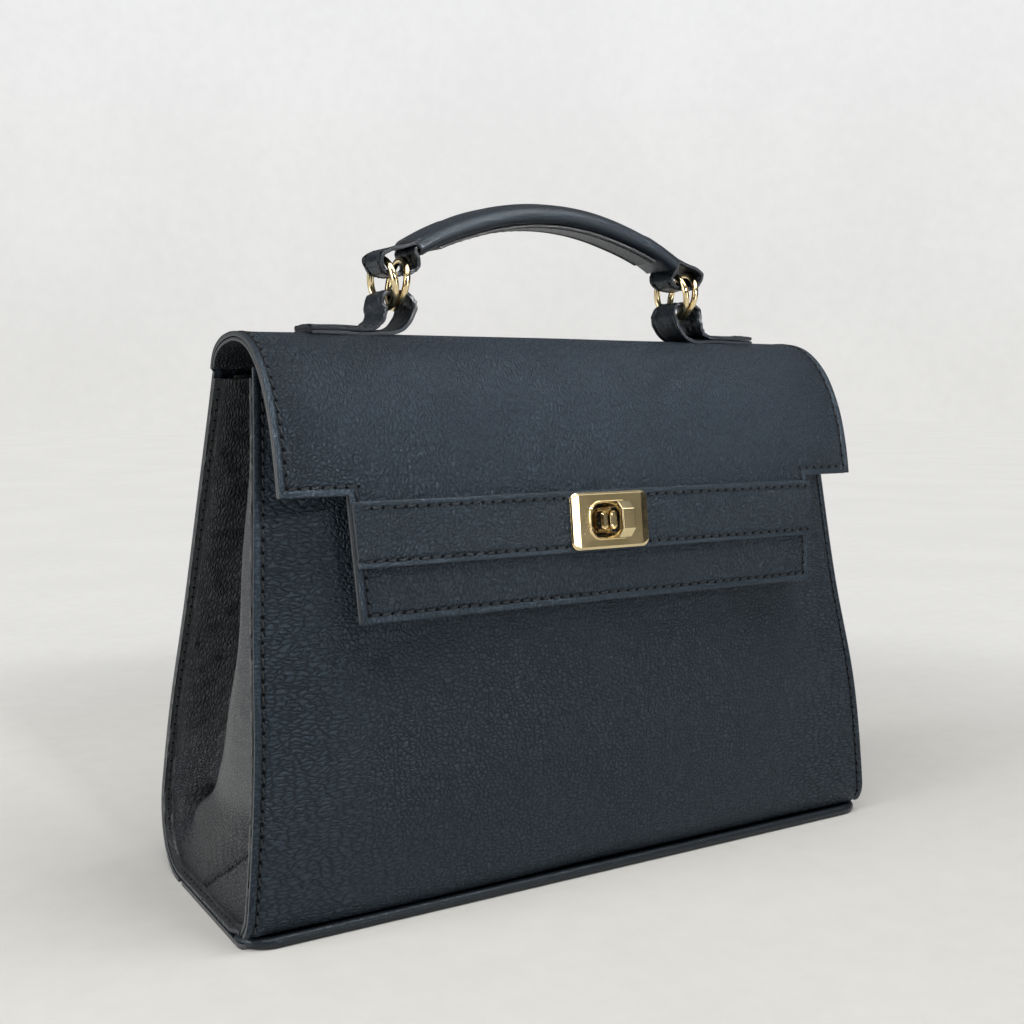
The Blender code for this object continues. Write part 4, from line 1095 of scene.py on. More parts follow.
def valley(share, strip):
    """Section of the fold: flat strip, steep drop behind its crest, floor, rise to the back."""
    drop = fade(share, strip, strip + 0.17)
    rise = 1 - fade(share, 0.80, 0.995)**1.3
    bulge = 0.11 * np.sin(np.clip(share / np.maximum(strip, 0.02), 0, 1.05)**2 * 2.9)
    tilt = 0.90 + 0.10 * fade(share, strip, 0.75)
    return drop * rise * tilt - bulge


def gusset_wall(share, z):
    """The wall of the left gusset before its creases, and the width of its strip."""
    front = np.interp(z, *edge_line(-1, WALL_DEPTH))
    back = np.interp(z, *edge_line(1, WALL_DEPTH))
    y = front + (back - front) * share
    strip = through(*zip(*STRIP_WIDTHS), z)
    fold = through(*zip(*FOLD_DEPTHS), z)
    pit = 0.0085 * np.exp(-((y - PIT[0]) / 0.0085)**2 - ((z - PIT[1]) / 0.0078)**2)
    pit += 0.0075 * np.exp(-((y - PIT[0]) / 0.0038)**2 - ((z - PIT[1]) / 0.0040)**2)
    pit *= 1 - fade(share, 0.86, 0.96)
    x = -half_width(z) + SEAM_FLANGE + fold * valley(share, strip) + pit
    return np.stack([x, y, z], -1), strip


print("wall of the fold from", round(WALL_LOW / MM, 1), "to", WALL_HIGH / MM, "mm up")

# %% [markdown]
# ## Creases of the folded sides
# The soft leather has fine upright creases in the valley, and fans out round the pit and round
# a pinch near the top. A sewn line gathers the lower corner. All could be sculpted by hand.
# Slow unevenness, folded over at zero, also gives narrow creases between broad swells, with its
# waves stretched in the direction that the creases run.

# %% Creases of the gusset
PINCH = (0.009, 0.1745)
CORNER_SEAM = ((-0.0500, 0.0365), (0.004, 0.0040))


def ridges(wave, sharpness=1.6):
    """Turns slow unevenness into narrow creases between broad folds."""
    return 1 - np.abs(wave)**(1 / sharpness) * 2


def gusset_creases(points, share, strip):
    """Relief of the wall, outwards: upright creases, fans round the pit and the pinch, seam."""
    y, z = points[..., 1], points[..., 2]
    inside = fade(share, 0.02, 0.07) * (1 - fade(share, 0.95, 0.995))
    behind = fade(share, strip + 0.02, strip + 0.14)
    lean = y + 0.10 * z + 0.0012 * uneven(y, z, 0.02, 31)
    upright = ridges(uneven(lean, z, 0.0032, 21) * 0.5
                     + 0.5 * uneven(lean * 2.4, z / 6, 0.0052, 22))
    relief = 1.05 * MM * upright * behind * fade(z, 0.035, 0.06)
    soft = uneven(y * 1.2, z / 2.5, 0.010, 23)
    relief += 1.1 * MM * soft * behind * fade(z, 0.03, 0.06)
    near = (1 - fade(share, strip * 0.50, strip * 0.85)) * fade(z, 0.05, 0.075)
    relief += 0.50 * MM * ridges(uneven(y / 3.2, z, 0.0026, 24)) * near

    away = np.hypot(y - PIT[0], z - PIT[1])
    angle = np.arctan2(z - PIT[1], y - PIT[0])
    fan = np.abs(np.sin(angle * 9 + 3 * uneven(away, angle, 0.009, 25)))**0.6
    relief -= 1.25 * MM * (1 - fan) * np.exp(-((away - 0.012) / 0.008)**2)

    (ya, za), (yb, zb) = CORNER_SEAM
    run = math.hypot(yb - ya, zb - za)
    across = ((y - ya) * (zb - za) - (z - za) * (yb - ya)) / run
    along = ((y - ya) * (yb - ya) + (z - za) * (zb - za)) / run
    within = fade(along, -0.002, 0.002) * (1 - fade(along, run - 0.002, run + 0.002))
    relief += within * groove(across, 1.15 * MM, 1.2 * MM)
    bulge = np.exp(-((across - 0.009) / 0.008)**2) + np.exp(-((across + 0.008) / 0.007)**2)
    relief += 0.9 * MM * bulge * fade(along, 0.0, 0.012) * (1 - fade(along, run - 0.014, run))
    gather = ridges(uneven(along, across / 4, 0.0024, 26)) * np.exp(-(np.abs(across) / 0.010)**2)
    relief += 0.42 * MM * gather * within

    away = np.hypot(y - PINCH[0], z - PINCH[1])
    angle = np.arctan2(z - PINCH[1], y - PINCH[0] + 1e-9)
    fan = np.abs(np.sin(angle * 5 + 0.6 + 1.2 * uneven(away, angle, 0.012, 27)))**0.5
    relief -= 0.9 * MM * (1 - fan) * np.exp(-((away - 0.010) / 0.009)**2)
    return relief * inside


print("creases round the pit", PIT, "and the pinch", PINCH)


# %% [markdown]
# ## The gussets as sheets
# At the front, the bottom and the back, the gusset is turned out into a narrow flange, which is
# sewn to its neighbours. The flange could be a piece of its own with an open joint. Here the
# wall's outermost rows are carried on outwards to the rim, so wall and flange are one sheet.
# The right side is the left one mirrored.


# %% Gussets
def make_gusset(name, node, right):
    """One folded side: the wall, its flange, and how its grain is drawn and pressed."""
    share = np.linspace(1, 0, 92)
    rise = np.linspace(0, 1, 150)
    low = WALL_LOW + (FRONT_BOTTOM - BASE_TOP) * (1 - fade(share, 0.03, 0.10))
    z = low[None, :] + (WALL_HIGH - low[None, :]) * rise[:, None]
    share = np.broadcast_to(share, z.shape)
    points, strip = gusset_wall(share, z)
    relief = gusset_creases(points, share, strip)
    points = points + grid_normals(points) * relief[..., None]
    out = -half_width(z)

    def turned_out(edge, tip, count=4):
        """Rows from a wall's edge out to the seam's rim, the rim first."""
        t = np.linspace(0, 1, count + 1)[:-1]
        return [np.concatenate([(tip + (edge[..., 0] - tip) * k)[..., None], edge[..., 1:]], -1)
                for k in t]

    back = turned_out(points[:, 0], out[:, 0])
    front = turned_out(points[:, -1], out[:, -1])[::-1]
    full = np.stack(back + list(points.transpose(1, 0, 2)) + front, 1)
    bottom = turned_out(full[0], np.full(full.shape[1], -half_width(WALL_LOW)))
    full = np.concatenate([np.stack(bottom), full])
    rows, columns = full.shape[:2]
    edge = len(back)
    seam = np.zeros((rows, columns))
    seam[:, :edge + 1] = seam[:, -edge - 1:] = seam[:edge + 1] = 1
    drawn = np.zeros((rows, columns))
    inner = 1 - fade(share, strip * 0.45, strip * 1.1 + 0.03)
    # Behind the strip the folds are drawn upright; the gusset's finish also paints them darker as
    # shade.
    behind = fade(share, strip + 0.02, strip + 0.12) * fade(z, 0.040, 0.065)
    drawn[edge:, edge:-edge] = np.clip(inner * fade(z, 0.045, 0.08), 0, 1) - 0.9 * behind
    # The strip beside the front seam is marked as pressed too: its grain lies flatter, and the
    # gusset's finish paints it grey as a highlight.
    before = np.minimum(share - strip * 0.86, 0) / np.maximum(strip * 0.95, 0.03)
    after = np.maximum(share - strip * 0.98, 0) / 0.035
    seam[edge:, edge:-edge] = np.maximum(
        seam[edge:, edge:-edge], 0.85 * np.exp(-before**2 - after**2) * fade(z, 0.036, 0.054))
    from_pit = np.hypot(points[..., 1] - PIT[0] - 1 * MM, points[..., 2] - PIT[1])
    drawn[edge:, edge:-edge] -= 1.0 * np.exp(-(from_pit / 0.0060)**2)
    drawn = np.maximum(drawn, -1.0)
    along = travelled_along(full[rows // 3])
    grain = pair(along, full[..., 2])
    if right:
        full = full[:, ::-1] * (-1, 1, 1)
        grain, seam, drawn = (a[:, ::-1] for a in (grain, seam, drawn))
    made = sheet(name, full, grain, GUSSET_LEATHER, soft_leather, None,
                 {"drawn": drawn, "pressed": seam}, rim_round=0.4 * MM, even=False)
    return finish_piece(made, "bag", "shell_leather", node)


make_gusset("left_gusset_leather", "left_gusset", False)
make_gusset("right_gusset_leather", "right_gusset", True)
print("gussets done")

# %% Gusset stitches
SEAM_IN_FLANGE = 1.9 * MM


def gusset_seam_runs():
    """Threads in the crease where the gusset turns out, and along its lower corner's seam."""
    found = []
    z = np.linspace(0.012, 0.195, 80)
    for side, out in ((-1, 1), (1, -1)):
        y = np.interp(z, *edge_line(side, WALL_DEPTH))
        line = np.stack([-half_width(z) + SEAM_IN_FLANGE, y, z], -1)
        found.append(facing(line, (0.0, out, 0.0)))
    y = np.linspace(0.044, -0.040, 40)
    line = np.stack([np.full_like(y, -half_width(WALL_LOW) + SEAM_IN_FLANGE), y,
                     np.full_like(y, WALL_LOW)], -1)
    found.append(facing(line, (0.0, 0.0, 1.0)))
    t = np.linspace(0.04, 0.96, 30)
    (ya, za), (yb, zb) = CORNER_SEAM
    y, z = ya + (yb - ya) * t, za + (zb - za) * t
    front, back = (np.interp(z, *edge_line(side, WALL_DEPTH)) for side in (-1, 1))
    wall = gusset_wall((y - front) / (back - front), z)[0]
    wall[:, 0] += 0.25 * MM
    found.append(facing(wall, (-1.0, 0.0, 0.0)))
    return found


left_runs = gusset_seam_runs()
right_runs = [(line * (-1, 1, 1), np.asarray(out) * (-1, 1, 1)) for line, out in left_runs]
stitches("gusset_stitches", left_runs + right_runs, "bag", 4.0 * MM, 2.9 * MM)
print("gussets sewn in", len(left_runs + right_runs), "runs")

# %% [markdown]
# ## Welt
# A welt is a cord wrapped in leather, sewn along an edge to guard it: here along the front of
# the base and round its two front corners. A curve with a round bevel makes one quickly. Rings
# of points swept along the route also give a slight wobble and a grain laid out in metres.


# %% Welt
def sweep(name, route, radius, finish):
    """A round bead along a route, closed at its ends."""
    sides = 14
    along = unit(np.gradient(route, axis=0))
    side = unit(np.cross(along, np.broadcast_to((0.0, 0.0, 1.0), along.shape)))
    up = np.cross(side, along)
    angle = np.arange(sides) / sides * 2 * math.pi
    travelled = travelled_along(route)
    wobble = 1 + 0.03 * uneven(travelled[:, None], angle[None, :] * radius, 0.006, 41)
    ring = (side[:, None] * np.cos(angle)[None, :, None] + up[:, None]
            * np.sin(angle)[None, :, None]) * (radius * wobble)[..., None]
    points = route[:, None] + ring
    count = len(route)
    quads = grid_faces(count, sides, close_columns=True).reshape(-1, 4).tolist()
    quads += [list(range(sides))[::-1], list(range((count - 1) * sides, count * sides))]
    grain = pair(travelled[:, None], angle * radius)
    marks = {"drawn": np.zeros(count * sides), "pressed": np.full(count * sides, 0.6)}
    made = new_object(name, points.reshape(-1, 3), quads, [finish], grain.reshape(-1, 2), marks)
    made.data.shade_smooth()
    return made


def wall_limit(side, z):
    """How far out a panel reaches at a height, on its middle line."""
    drop = max(ROLL[side] - z, 0)
    return float(edge_y(side, max(z, ROLL[side]))
                 - side * (ROLL[side] - math.sqrt(ROLL[side]**2 - drop**2)))


BASE_CORNER = 0.012
welt_y = wall_limit(-1, ROLL[-1]) + WELT_RADIUS
turn = BASE_CORNER - WELT_RADIUS
reach = BASE_WIDTH / 2 - WELT_RADIUS
bend = np.linspace(0, math.pi / 2, 24)
corner_x = reach - turn + turn * np.cos(bend)
corner_y = welt_y + turn - turn * np.sin(bend)
straight = np.linspace(-(reach - turn), reach - turn, 150)[1:-1]
welt_route = np.concatenate([pair(-corner_x, corner_y), pair(straight, welt_y),
                             pair(corner_x, corner_y)[::-1]])
welt_route = np.column_stack([welt_route, np.full(len(welt_route), WELT_RADIUS)])
welt = sweep("base_welt_leather", welt_route, WELT_RADIUS, fine_leather)
finish_piece(welt, "bag", "edge_leather", "base_welt")
print("welt", len(welt_route), "stations long")


# %% [markdown]
# ## Base and the floor inside
# The base is a flat leather panel, and inside it a covered board makes the floor. Two boxes
# with bevelled corners would do for a flat thing. Both are made as sheets like the rest, so
# that they carry the same grain and painted edges, with the outline drawn in at the corners.

# %% Base
LINING = 0.0009
BOARD_MARGIN, BOARD_THICKNESS = 0.006, 0.0018


def base_grid(low, high, half, bottom, thickness, name, finish, node, slot, corner=0.004):
    """A flat sheet for the base, its upper face at a height, with its corners rounded."""
    xs = lines(-half, half, 5 * MM)
    ys = lines(low, high, 5 * MM)
    x, y = np.meshgrid(xs, ys)
    inset = half - corner
    toward = np.clip((np.abs(x) - inset) / corner, 0, 1)
    middle = (low + high) / 2
    pull = (1 - np.sqrt(1 - toward**2)) * corner
    y = middle + (y - middle) * (1 - pull / ((high - low) / 2))
    points = np.stack([x, y, np.full_like(x, bottom + thickness)], -1)
    made = sheet(name, points, np.stack([x, y], -1), thickness, finish, rim_round=0.3 * MM)
    return finish_piece(made, "bag", slot, node)


base_front, base_back = welt_y + WELT_RADIUS + GAP, wall_limit(1, 0) - GAP
base_grid(base_front, base_back, BASE_WIDTH / 2, 0.0, BASE_TOP, "base_leather", leather,
          "base_panel", "shell_leather")
inner = BASE_WIDTH / 2 - SEAM_FLANGE - GUSSET_LEATHER - BOARD_MARGIN
floor_front = wall_limit(-1, BASE_TOP) + LEATHER + GAP + BOARD_MARGIN
floor_back = wall_limit(1, BASE_TOP) - LEATHER - GAP - BOARD_MARGIN
floor_low = BASE_TOP + 2 * GAP + BOARD_THICKNESS
base_grid(floor_front, floor_back, inner, floor_low, LINING, "floor_lining", lining,
          "base_lining", "lining_leather", 0.006)
print("base done")

# %% [markdown]
# ## Lining
# The inside is lined with thin napped leather, over both panels and into both folds. Flipped
# copies of the outer pieces, moved inwards, would leave gaps at the corners. One closed tube is
# made instead: its columns run along the front, through the right fold, back along the rear
# panel and through the left fold, always at the same depth under the leather.


# %% Lining
def panel_v(side, z):
    """A panel's v at a height."""
    return (z - ROLL[side]) / (BODY_HEIGHT - ROLL[side])


STIFFENER = 0.0008
PANEL_DEPTH = LEATHER + LAYER_GAP + STIFFENER + LAYER_GAP + LINING
LINING_MARGIN, LINING_SETBACK, CREASE_SLACK = 0.0075, 0.0015, 0.0008
LINING_LOW = floor_low + LINING + GAP
lining_rows = np.linspace(0, 1, 70)


def lining_side(side, count):
    """The lining over a panel; its columns go left to right at the front, back at the rear."""
    u = np.linspace(-1, 1, count)
    top = BODY_HEIGHT - LINING_SETBACK
    low = max(ROLL[side], LINING_LOW)
    z = low + (top - low) * lining_rows[:, None]
    reach = 1 - LINING_MARGIN / half_width(z)
    return panel_under(side, u[None, :] * reach, panel_v(side, z), PANEL_DEPTH)


def lining_fold(right):
    """The lining in a gusset, from the front to the back on the right side of the bag."""
    share = np.linspace(0, 1, 50)
    high = WALL_HIGH - GUSSET_DROP
    low = LINING_LOW
    z = low + (high - low) * lining_rows[:, None]
    share, z = np.broadcast_arrays(share[None, :], z)
    wall = gusset_wall(share, z)[0]
    inward = -grid_normals(wall[:, ::-1])[:, ::-1]
    moved = wall + inward * (GUSSET_LEATHER + GAP + CREASE_SLACK + LINING)
    front = panel_under(-1, 1.0, np.clip(panel_v(-1, z[:, 0]), 0, 1), PANEL_DEPTH)[:, 1]
    back = panel_under(1, 1.0, np.clip(panel_v(1, z[:, 0]), 0, 1), PANEL_DEPTH)[:, 1]
    moved[..., 1] = np.clip(moved[..., 1], front[:, None], back[:, None])
    moved[..., 2] = z
    return moved * (-1, 1, 1) if right else moved[:, ::-1]


around = np.concatenate([lining_side(-1, 60), lining_fold(True), lining_side(1, 60),
                         lining_fold(False)], 1)[:, ::-1]
travelled = travelled_along(around[len(around) // 2])
grain = pair(travelled, around[..., 2])
lining_shell = sheet("lining_shell", around, grain, LINING, lining, rim=lining,
                     rim_round=0.25 * MM, even=False, closed=True)
finish_piece(lining_shell, "bag", "lining_leather", "front_lining", "back_lining",
             "left_gusset_lining", "right_gusset_lining")
print("lining", round(travelled[-1] / MM), "mm round")

# %% [markdown]
# ## Slip pocket
# A flat pocket is sewn to the rear lining at its sides and its bottom, and hemmed at its open
# top. It could be drawn on the lining as a texture. As a sheet of its own, laid on the panel's
# formula a little deeper than the lining, it has a real edge that throws a shadow.

# %% Slip pocket
POCKET_WIDTH, POCKET_LOW, POCKET_HIGH = 0.130, 0.075, 0.155
POCKET_LEATHER, POCKET_HEM, POCKET_SEAM = 0.0010, 3 * MM, 2.5 * MM
pocket_depth = PANEL_DEPTH + 0.0016


def pocket_face(x, z, deeper=0.0):
    """The pocket's face, or a surface further in."""
    return panel_under(1, x / half_width(z), panel_v(1, z), pocket_depth + deeper)


pocket_z = lines(POCKET_LOW, POCKET_HIGH, 3 * MM, (POCKET_HIGH - POCKET_HEM,))
pocket_x = lines(-POCKET_WIDTH / 2, POCKET_WIDTH / 2, 3 * MM)
x, z = np.meshgrid(pocket_x, pocket_z)
relief = groove(z - POCKET_HIGH + POCKET_HEM, 0.2 * MM)
pocket = sheet("slip_pocket_leather", pocket_face(x, z), np.stack([x, z], -1), POCKET_LEATHER,
               lining, relief, rim=lining, rim_round=0.3 * MM)
finish_piece(pocket, "bag", "lining_leather", "slip_pocket")


def pocket_run(corners):
    x, z = between_corners(corners, lambda length: 30).T
    points = pocket_face(x, z)
    return points, unit(pocket_face(x, z, 0.001) - points)


pocket_edge = POCKET_WIDTH / 2 - POCKET_SEAM
pocket_bottom, pocket_top = POCKET_LOW + POCKET_SEAM, POCKET_HIGH - 1 * MM
stitches("pocket_stitches", [
    pocket_run([(-pocket_edge, pocket_top), (-pocket_edge, pocket_bottom),
                (pocket_edge, pocket_bottom), (pocket_edge, pocket_top)]),
    pocket_run([(s * pocket_edge, POCKET_HIGH - POCKET_HEM) for s in (-1, 1)])],
    "bag", 3.4 * MM, 2.5 * MM, 0.24 * MM)
print("pocket", POCKET_WIDTH / MM, "mm wide")

# %% [markdown]
# ## Band
# A second strap of the same hide is sewn across the tongue, and carries the lock. It could be a
# raised strip in the flap's own relief. Real bands show two cut edges and a line of shadow
# under them, so this is a sheet of its own, laid on the flap's formula just outside its face.

# %% Band
BAND_LEATHER = 0.0018
BAND_FACE = GAP + BAND_LEATHER
BAND_SEAM = 2.4 * MM

band_top = NOTCH + BAND_BELOW_NOTCH
band_bottom = band_top + BAND_HEIGHT
columns = lines(-TONGUE_HALF, TONGUE_HALF, STEP, exact=LOCK_CUT_X)[::-1]
places = lines(band_top, band_bottom, STEP, (band_top + BAND_SEAM, band_bottom - BAND_SEAM),
               exact=LOCK_CUT_PLACES)
x = flap_x(columns[None, :], places[:, None])
points = flap(x, places[:, None], -BAND_FACE)
from_edge = np.minimum(places - band_top, band_bottom - places)[:, None] + 0 * x
relief = groove(from_edge - BAND_SEAM) + 0.12 * MM * uneven(x, places[:, None], 0.03, 51)
marks = {"drawn": -0.45, "pressed": 1 - fade(from_edge, 1.2 * MM, 3.4 * MM)}
grain = pair(x, places[:, None] + 0.35)
band = sheet("flap_band_leather", points, grain, BAND_LEATHER, leather, relief, marks,
             lock_cut(columns, places), rim=flap_edge)
finish_piece(band, "flap", "shell_leather", "flap_band")
stitches("band_stitches", [flap_run([(-tongue_line, s), (tongue_line, s)], -BAND_FACE)
                           for s in (band_top + BAND_SEAM, band_bottom - BAND_SEAM)], "flap")
print("band", len(band.data.polygons), "faces")

# %% [markdown]
# ## Working in metal
# The lock's parts are cast or stamped, with crisp small bevels that catch bright lines. Box
# modelling would do it. Skinning between loops with equally many points is the same idea in
# numbers: the next outline, smaller or further out, makes the bevel. Weighted normals then keep
# the broad faces flat.

# %% Loops in the lock's own directions
LOCK_OUT = np.array([0.0, -math.cos(TONGUE_TILT), math.sin(TONGUE_TILT)])
LOCK_UP = np.array([0.0, math.sin(TONGUE_TILT), math.cos(TONGUE_TILT)])
LOCK_FACE = flap(0.0, LOCK_PLACE)


def lock_point(x, up, out):
    """A point of the lock: across, up the flap and out of it."""
    return (LOCK_FACE + np.multiply.outer(x, (1.0, 0.0, 0.0)) + np.multiply.outer(up, LOCK_UP)
            + np.multiply.outer(out, LOCK_OUT))


def rounded(half_x, half_z, radius, steps=7):
    """The corners of a rounded rectangle, anticlockwise seen from its front."""
    a = np.linspace(0, math.pi / 2, steps)
    found = []
    for k, (sx, sz) in enumerate(((1, 1), (-1, 1), (-1, -1), (1, -1))):
        at = a + k * math.pi / 2
        found.append(pair(sx * (half_x - radius) + radius * np.cos(at),
                          sz * (half_z - radius) + radius * np.sin(at)))
    return np.concatenate(found)


def loops_object(name, loops, finish, closed=True, soften=0.12 * MM):
    """Skin between loops that have as many points each; closed joins the last to the first."""
    loops = np.array(loops)
    count, around = loops.shape[:2]
    faces = grid_faces(count, around, closed, True).reshape(-1, 4).tolist()
    if not closed:
        faces += [list(range(around))[::-1], list(range((count - 1) * around, count * around))]
    made = new_object(name, loops.reshape(-1, 3), faces, [finish])
    shape = bmesh.new()
    shape.from_mesh(made.data)
    bmesh.ops.recalc_face_normals(shape, faces=shape.faces)
    shape.to_mesh(made.data)
    shape.free()
    soften_edges(made, soften, 2, 28)
    flat = made.modifiers.new("flat faces", "WEIGHTED_NORMAL")
    flat.weight = 100
    made.data.shade_smooth()
    return apply_all(made)


print("lock's middle at", LOCK_FACE.round(4))


# %% [markdown]
# ## Lock plate
# The plate is a thick stamping with wide bevels at its sides, narrow ones above and below, and
# a raised rim round its window. One Bevel modifier would make them all alike. Ten loops give
# each its own width: from the back, round the outside, over the rim and in through the window.
# Two lie close together at the bevel's inner edge, so that the light breaks sharply there.

# %% Lock plate
OPENING = (0.0186, 0.0132)
PLATE_THICKNESS = 0.0022
PLATE_FACE = BAND_FACE + GAP + PLATE_THICKNESS


def plate_loop(half_x, half_z, radius, out):
    """One outline of the plate, at a distance out from the flap."""
    shape = rounded(half_x, half_z, radius)
    return lock_point(shape[:, 0], shape[:, 1], out)


half_x, half_z = 0.0184, 0.0111
window_x, window_z = OPENING[0] / 2, OPENING[1] / 2
window_round = OPENING[1] / 3
back = BAND_FACE + GAP
plate_top = back + 1.65 * MM
plate = loops_object("lock_plate_metal", [
    plate_loop(half_x, half_z, 0.0032, back),
    plate_loop(half_x, half_z, 0.0032, back + 0.75 * MM),
    plate_loop(half_x - 0.55 * MM, half_z - 0.55 * MM, 0.0027, back + 1.25 * MM),
    plate_loop(half_x - 3.60 * MM, half_z - 0.90 * MM, 0.0004, plate_top),
    plate_loop(half_x - 3.72 * MM, half_z - 1.02 * MM, 0.0003, plate_top),
    plate_loop(window_x + 1.15 * MM, window_z + 1.0 * MM, window_round + 1.0 * MM, plate_top),
    plate_loop(window_x + 0.95 * MM, window_z + 0.8 * MM, window_round + 0.8 * MM,
               back + PLATE_THICKNESS),
    plate_loop(window_x + 0.35 * MM, window_z + 0.3 * MM, window_round + 0.3 * MM,
               back + PLATE_THICKNESS),
    plate_loop(window_x, window_z, window_round, back + 1.8 * MM),
    plate_loop(window_x, window_z, window_round, back)], gold)
finish_piece(plate, "flap", "gold_metal", "lock_plate")
print("lock plate", round(2 * half_x / MM, 1), "by", round(2 * half_z / MM, 1), "mm")


# %% [markdown]
# ## Turning staple
# A flat strap of metal is bent into a square arch on a post. It passes through the window and
# turns to hold the flap. It could be bent from a strip with a curve modifier. Its outline and
# the hole inside it, each at both faces, are four loops that close into the whole part, with
# the upper half mirrored below.


# %% Turning staple
def front_face_out():
    """How far the front panel lies behind the flap's face, along the lock's axis."""
    v = np.linspace(0.4, 0.9, 501)
    offset = panel(-1, 0.0, v) - LOCK_FACE
    best = np.argmin(np.abs(offset @ LOCK_UP))
    return float(offset[best] @ LOCK_OUT)


face_out = front_face_out()
LOCK_BASE_THICKNESS = 0.0026
base_front = face_out + GAP + LOCK_BASE_THICKNESS
STAPLE_HEIGHT, STAPLE_WIDTH, STAPLE_METAL = 0.0142, 0.0060, 0.0023
STAPLE_PROUD, STAPLE_CORNER, PIVOT_RADIUS = 0.0112, 0.0032, 0.0014
arch_back = PLATE_FACE + GAP
arch_top = PLATE_FACE + STAPLE_PROUD
foot = base_front + GAP
half, inner_half = STAPLE_HEIGHT / 2, STAPLE_HEIGHT / 2 - STAPLE_METAL
leg_half = window_z - 0.35 * MM
cut, inner_cut = STAPLE_CORNER, STAPLE_CORNER * 0.7


def both_ways(points):
    """An outline from its upper half: the same points again, mirrored below."""
    return np.array(points + [(-up, out) for up, out in points[::-1]])


outline = both_ways([(leg_half, foot), (leg_half, arch_back), (half, arch_back),
                     (half, arch_top - cut), (half - cut, arch_top)])
hole = both_ways([(inner_half - 0.4 * MM, foot + 1.2 * MM), (inner_half, arch_back),
                  (inner_half, arch_back + 1.0 * MM),
                  (inner_half, arch_top - STAPLE_METAL - inner_cut),
                  (inner_half - inner_cut, arch_top - STAPLE_METAL)])
staple = loops_object("turn_staple_metal", [
    lock_point(x, shape[:, 0], shape[:, 1])
    for shape, x in ((outline, -STAPLE_WIDTH / 2), (outline, STAPLE_WIDTH / 2),
                     (hole, STAPLE_WIDTH / 2), (hole, -STAPLE_WIDTH / 2))], gold,
    soften=0.42 * MM)
around = np.arange(20) / 20 * 2 * math.pi
post = loops_object("staple_post", [
    lock_point(np.cos(around) * PIVOT_RADIUS, np.sin(around) * PIVOT_RADIUS, out)
    for out in (face_out + GAP + LOCK_BASE_THICKNESS / 4 + GAP, foot + 0.6 * MM)],
    gold, closed=False)
finish_piece(staple, "staple", "gold_metal", "turn_staple")
finish_piece(post, "staple", "gold_metal")
print("staple", round(STAPLE_HEIGHT / MM, 1), "mm high")

# %% [markdown]
# ## Two rounded bars
# Between the staple's legs two small bars with domed ends stand in the window. Two spheres,
# stretched, would look too soft. The same rounded outline, drawn in step by step towards the
# front, gives a straight shaft, a fine step and a shallow dome.

# %% Bars in the window
BAR_HALF, BAR_HEIGHT, BAR_ROUND = 1.75 * MM, 3.7 * MM, 1.5 * MM
BAR_OUT, BAR_FRONT = 2.15 * MM, back + 0.5 * MM
BAR_STEPS = ((1.0, foot + 0.8 * MM), (1.0, BAR_FRONT - 0.9 * MM), (0.90, BAR_FRONT - 0.35 * MM),
             (0.84, BAR_FRONT - 0.35 * MM), (0.66, BAR_FRONT - 0.05 * MM), (0.30, BAR_FRONT),
             (0.05, BAR_FRONT))

for name, sign in (("left_bar", -1), ("right_bar", 1)):
    ends = rounded(BAR_HALF, BAR_HEIGHT, BAR_ROUND)
    made = loops_object("lock_" + name, [
        lock_point(ends[:, 0] * share + sign * BAR_OUT, ends[:, 1] * (1 - (1 - share) * 0.5), out)
        for share, out in BAR_STEPS], gold, closed=False, soften=0.05 * MM)
    finish_piece(made, "staple", "gold_metal")
print("lock done")

# %% [markdown]
# ## The line of the handle
# Two tabs are folded round the rings and sewn on the crown, and two loops from the ends of the
# grip pass through the same rings. Before any leather is made, their lines are needed. They
# could be drawn as curves over the photograph. As short lists of points between named sizes,
# they stay clear of each other when a size is changed.

# %% Sizes of the handle
HANDLE_SPAN, RING_HEIGHT = 0.140, 0.0195
LOOP_PITCH, STRAP_LEATHER = 0.0028, 0.0013
STRAP_WIDTH, RING_PINCH, TAB_LENGTH, LOOP_HALF_WIDTH = 0.018, 0.0138, 0.036, 0.0062
GRIP_SPAN = HANDLE_SPAN - 2 * 0.0115
GRIP_ARCH, GRIP_THICKNESS, GRIP_SHELL = 0.0163, 0.0105, 0.0016
GRIP_BELOW_CROWN_TOP, GRIP_TUCK = 0.0535, 0.010
CROWN_HEIGHT, HANDLE_Y = CROWN[2], CROWN[1]
RING_Z = CROWN_HEIGHT + RING_HEIGHT
ROUND_RADIUS, ROUND_WIRE = 0.0093, 1.35 * MM
GRIP_END_LOW, GRIP_END_HIGH = 0.0038, 0.0112


def smooth_path(points, count):
    """A smooth line through a few points, evenly stepped."""
    points = np.array(points)
    places = travelled_along(points)
    at = np.linspace(0, places[-1], count)
    return np.stack([through(places, points[:, k], at) for k in (0, 1)], -1)


def strap_widths(path, z_pinch):
    """Half the strap's width along its path, pinched where it lies in the rings."""
    near = np.exp(-((path[:, 1] - z_pinch) / (1.6 * LOOP_PITCH))**2)
    near *= np.exp(-((np.abs(path[:, 0]) - HANDLE_SPAN / 2) / (0.8 * TAB_LENGTH))**4)
    return STRAP_WIDTH / 2 - (STRAP_WIDTH - RING_PINCH) / 2 * near


def crown_drop(y):
    """How far the crown falls away from its top, ahead of the handle and behind it."""
    place = np.linspace(0.006, 0.09, 200)
    line = flap(0.0, place)
    order = np.argsort(line[:, 1])
    return CROWN_HEIGHT - np.interp(y, line[order, 1], line[order, 2])


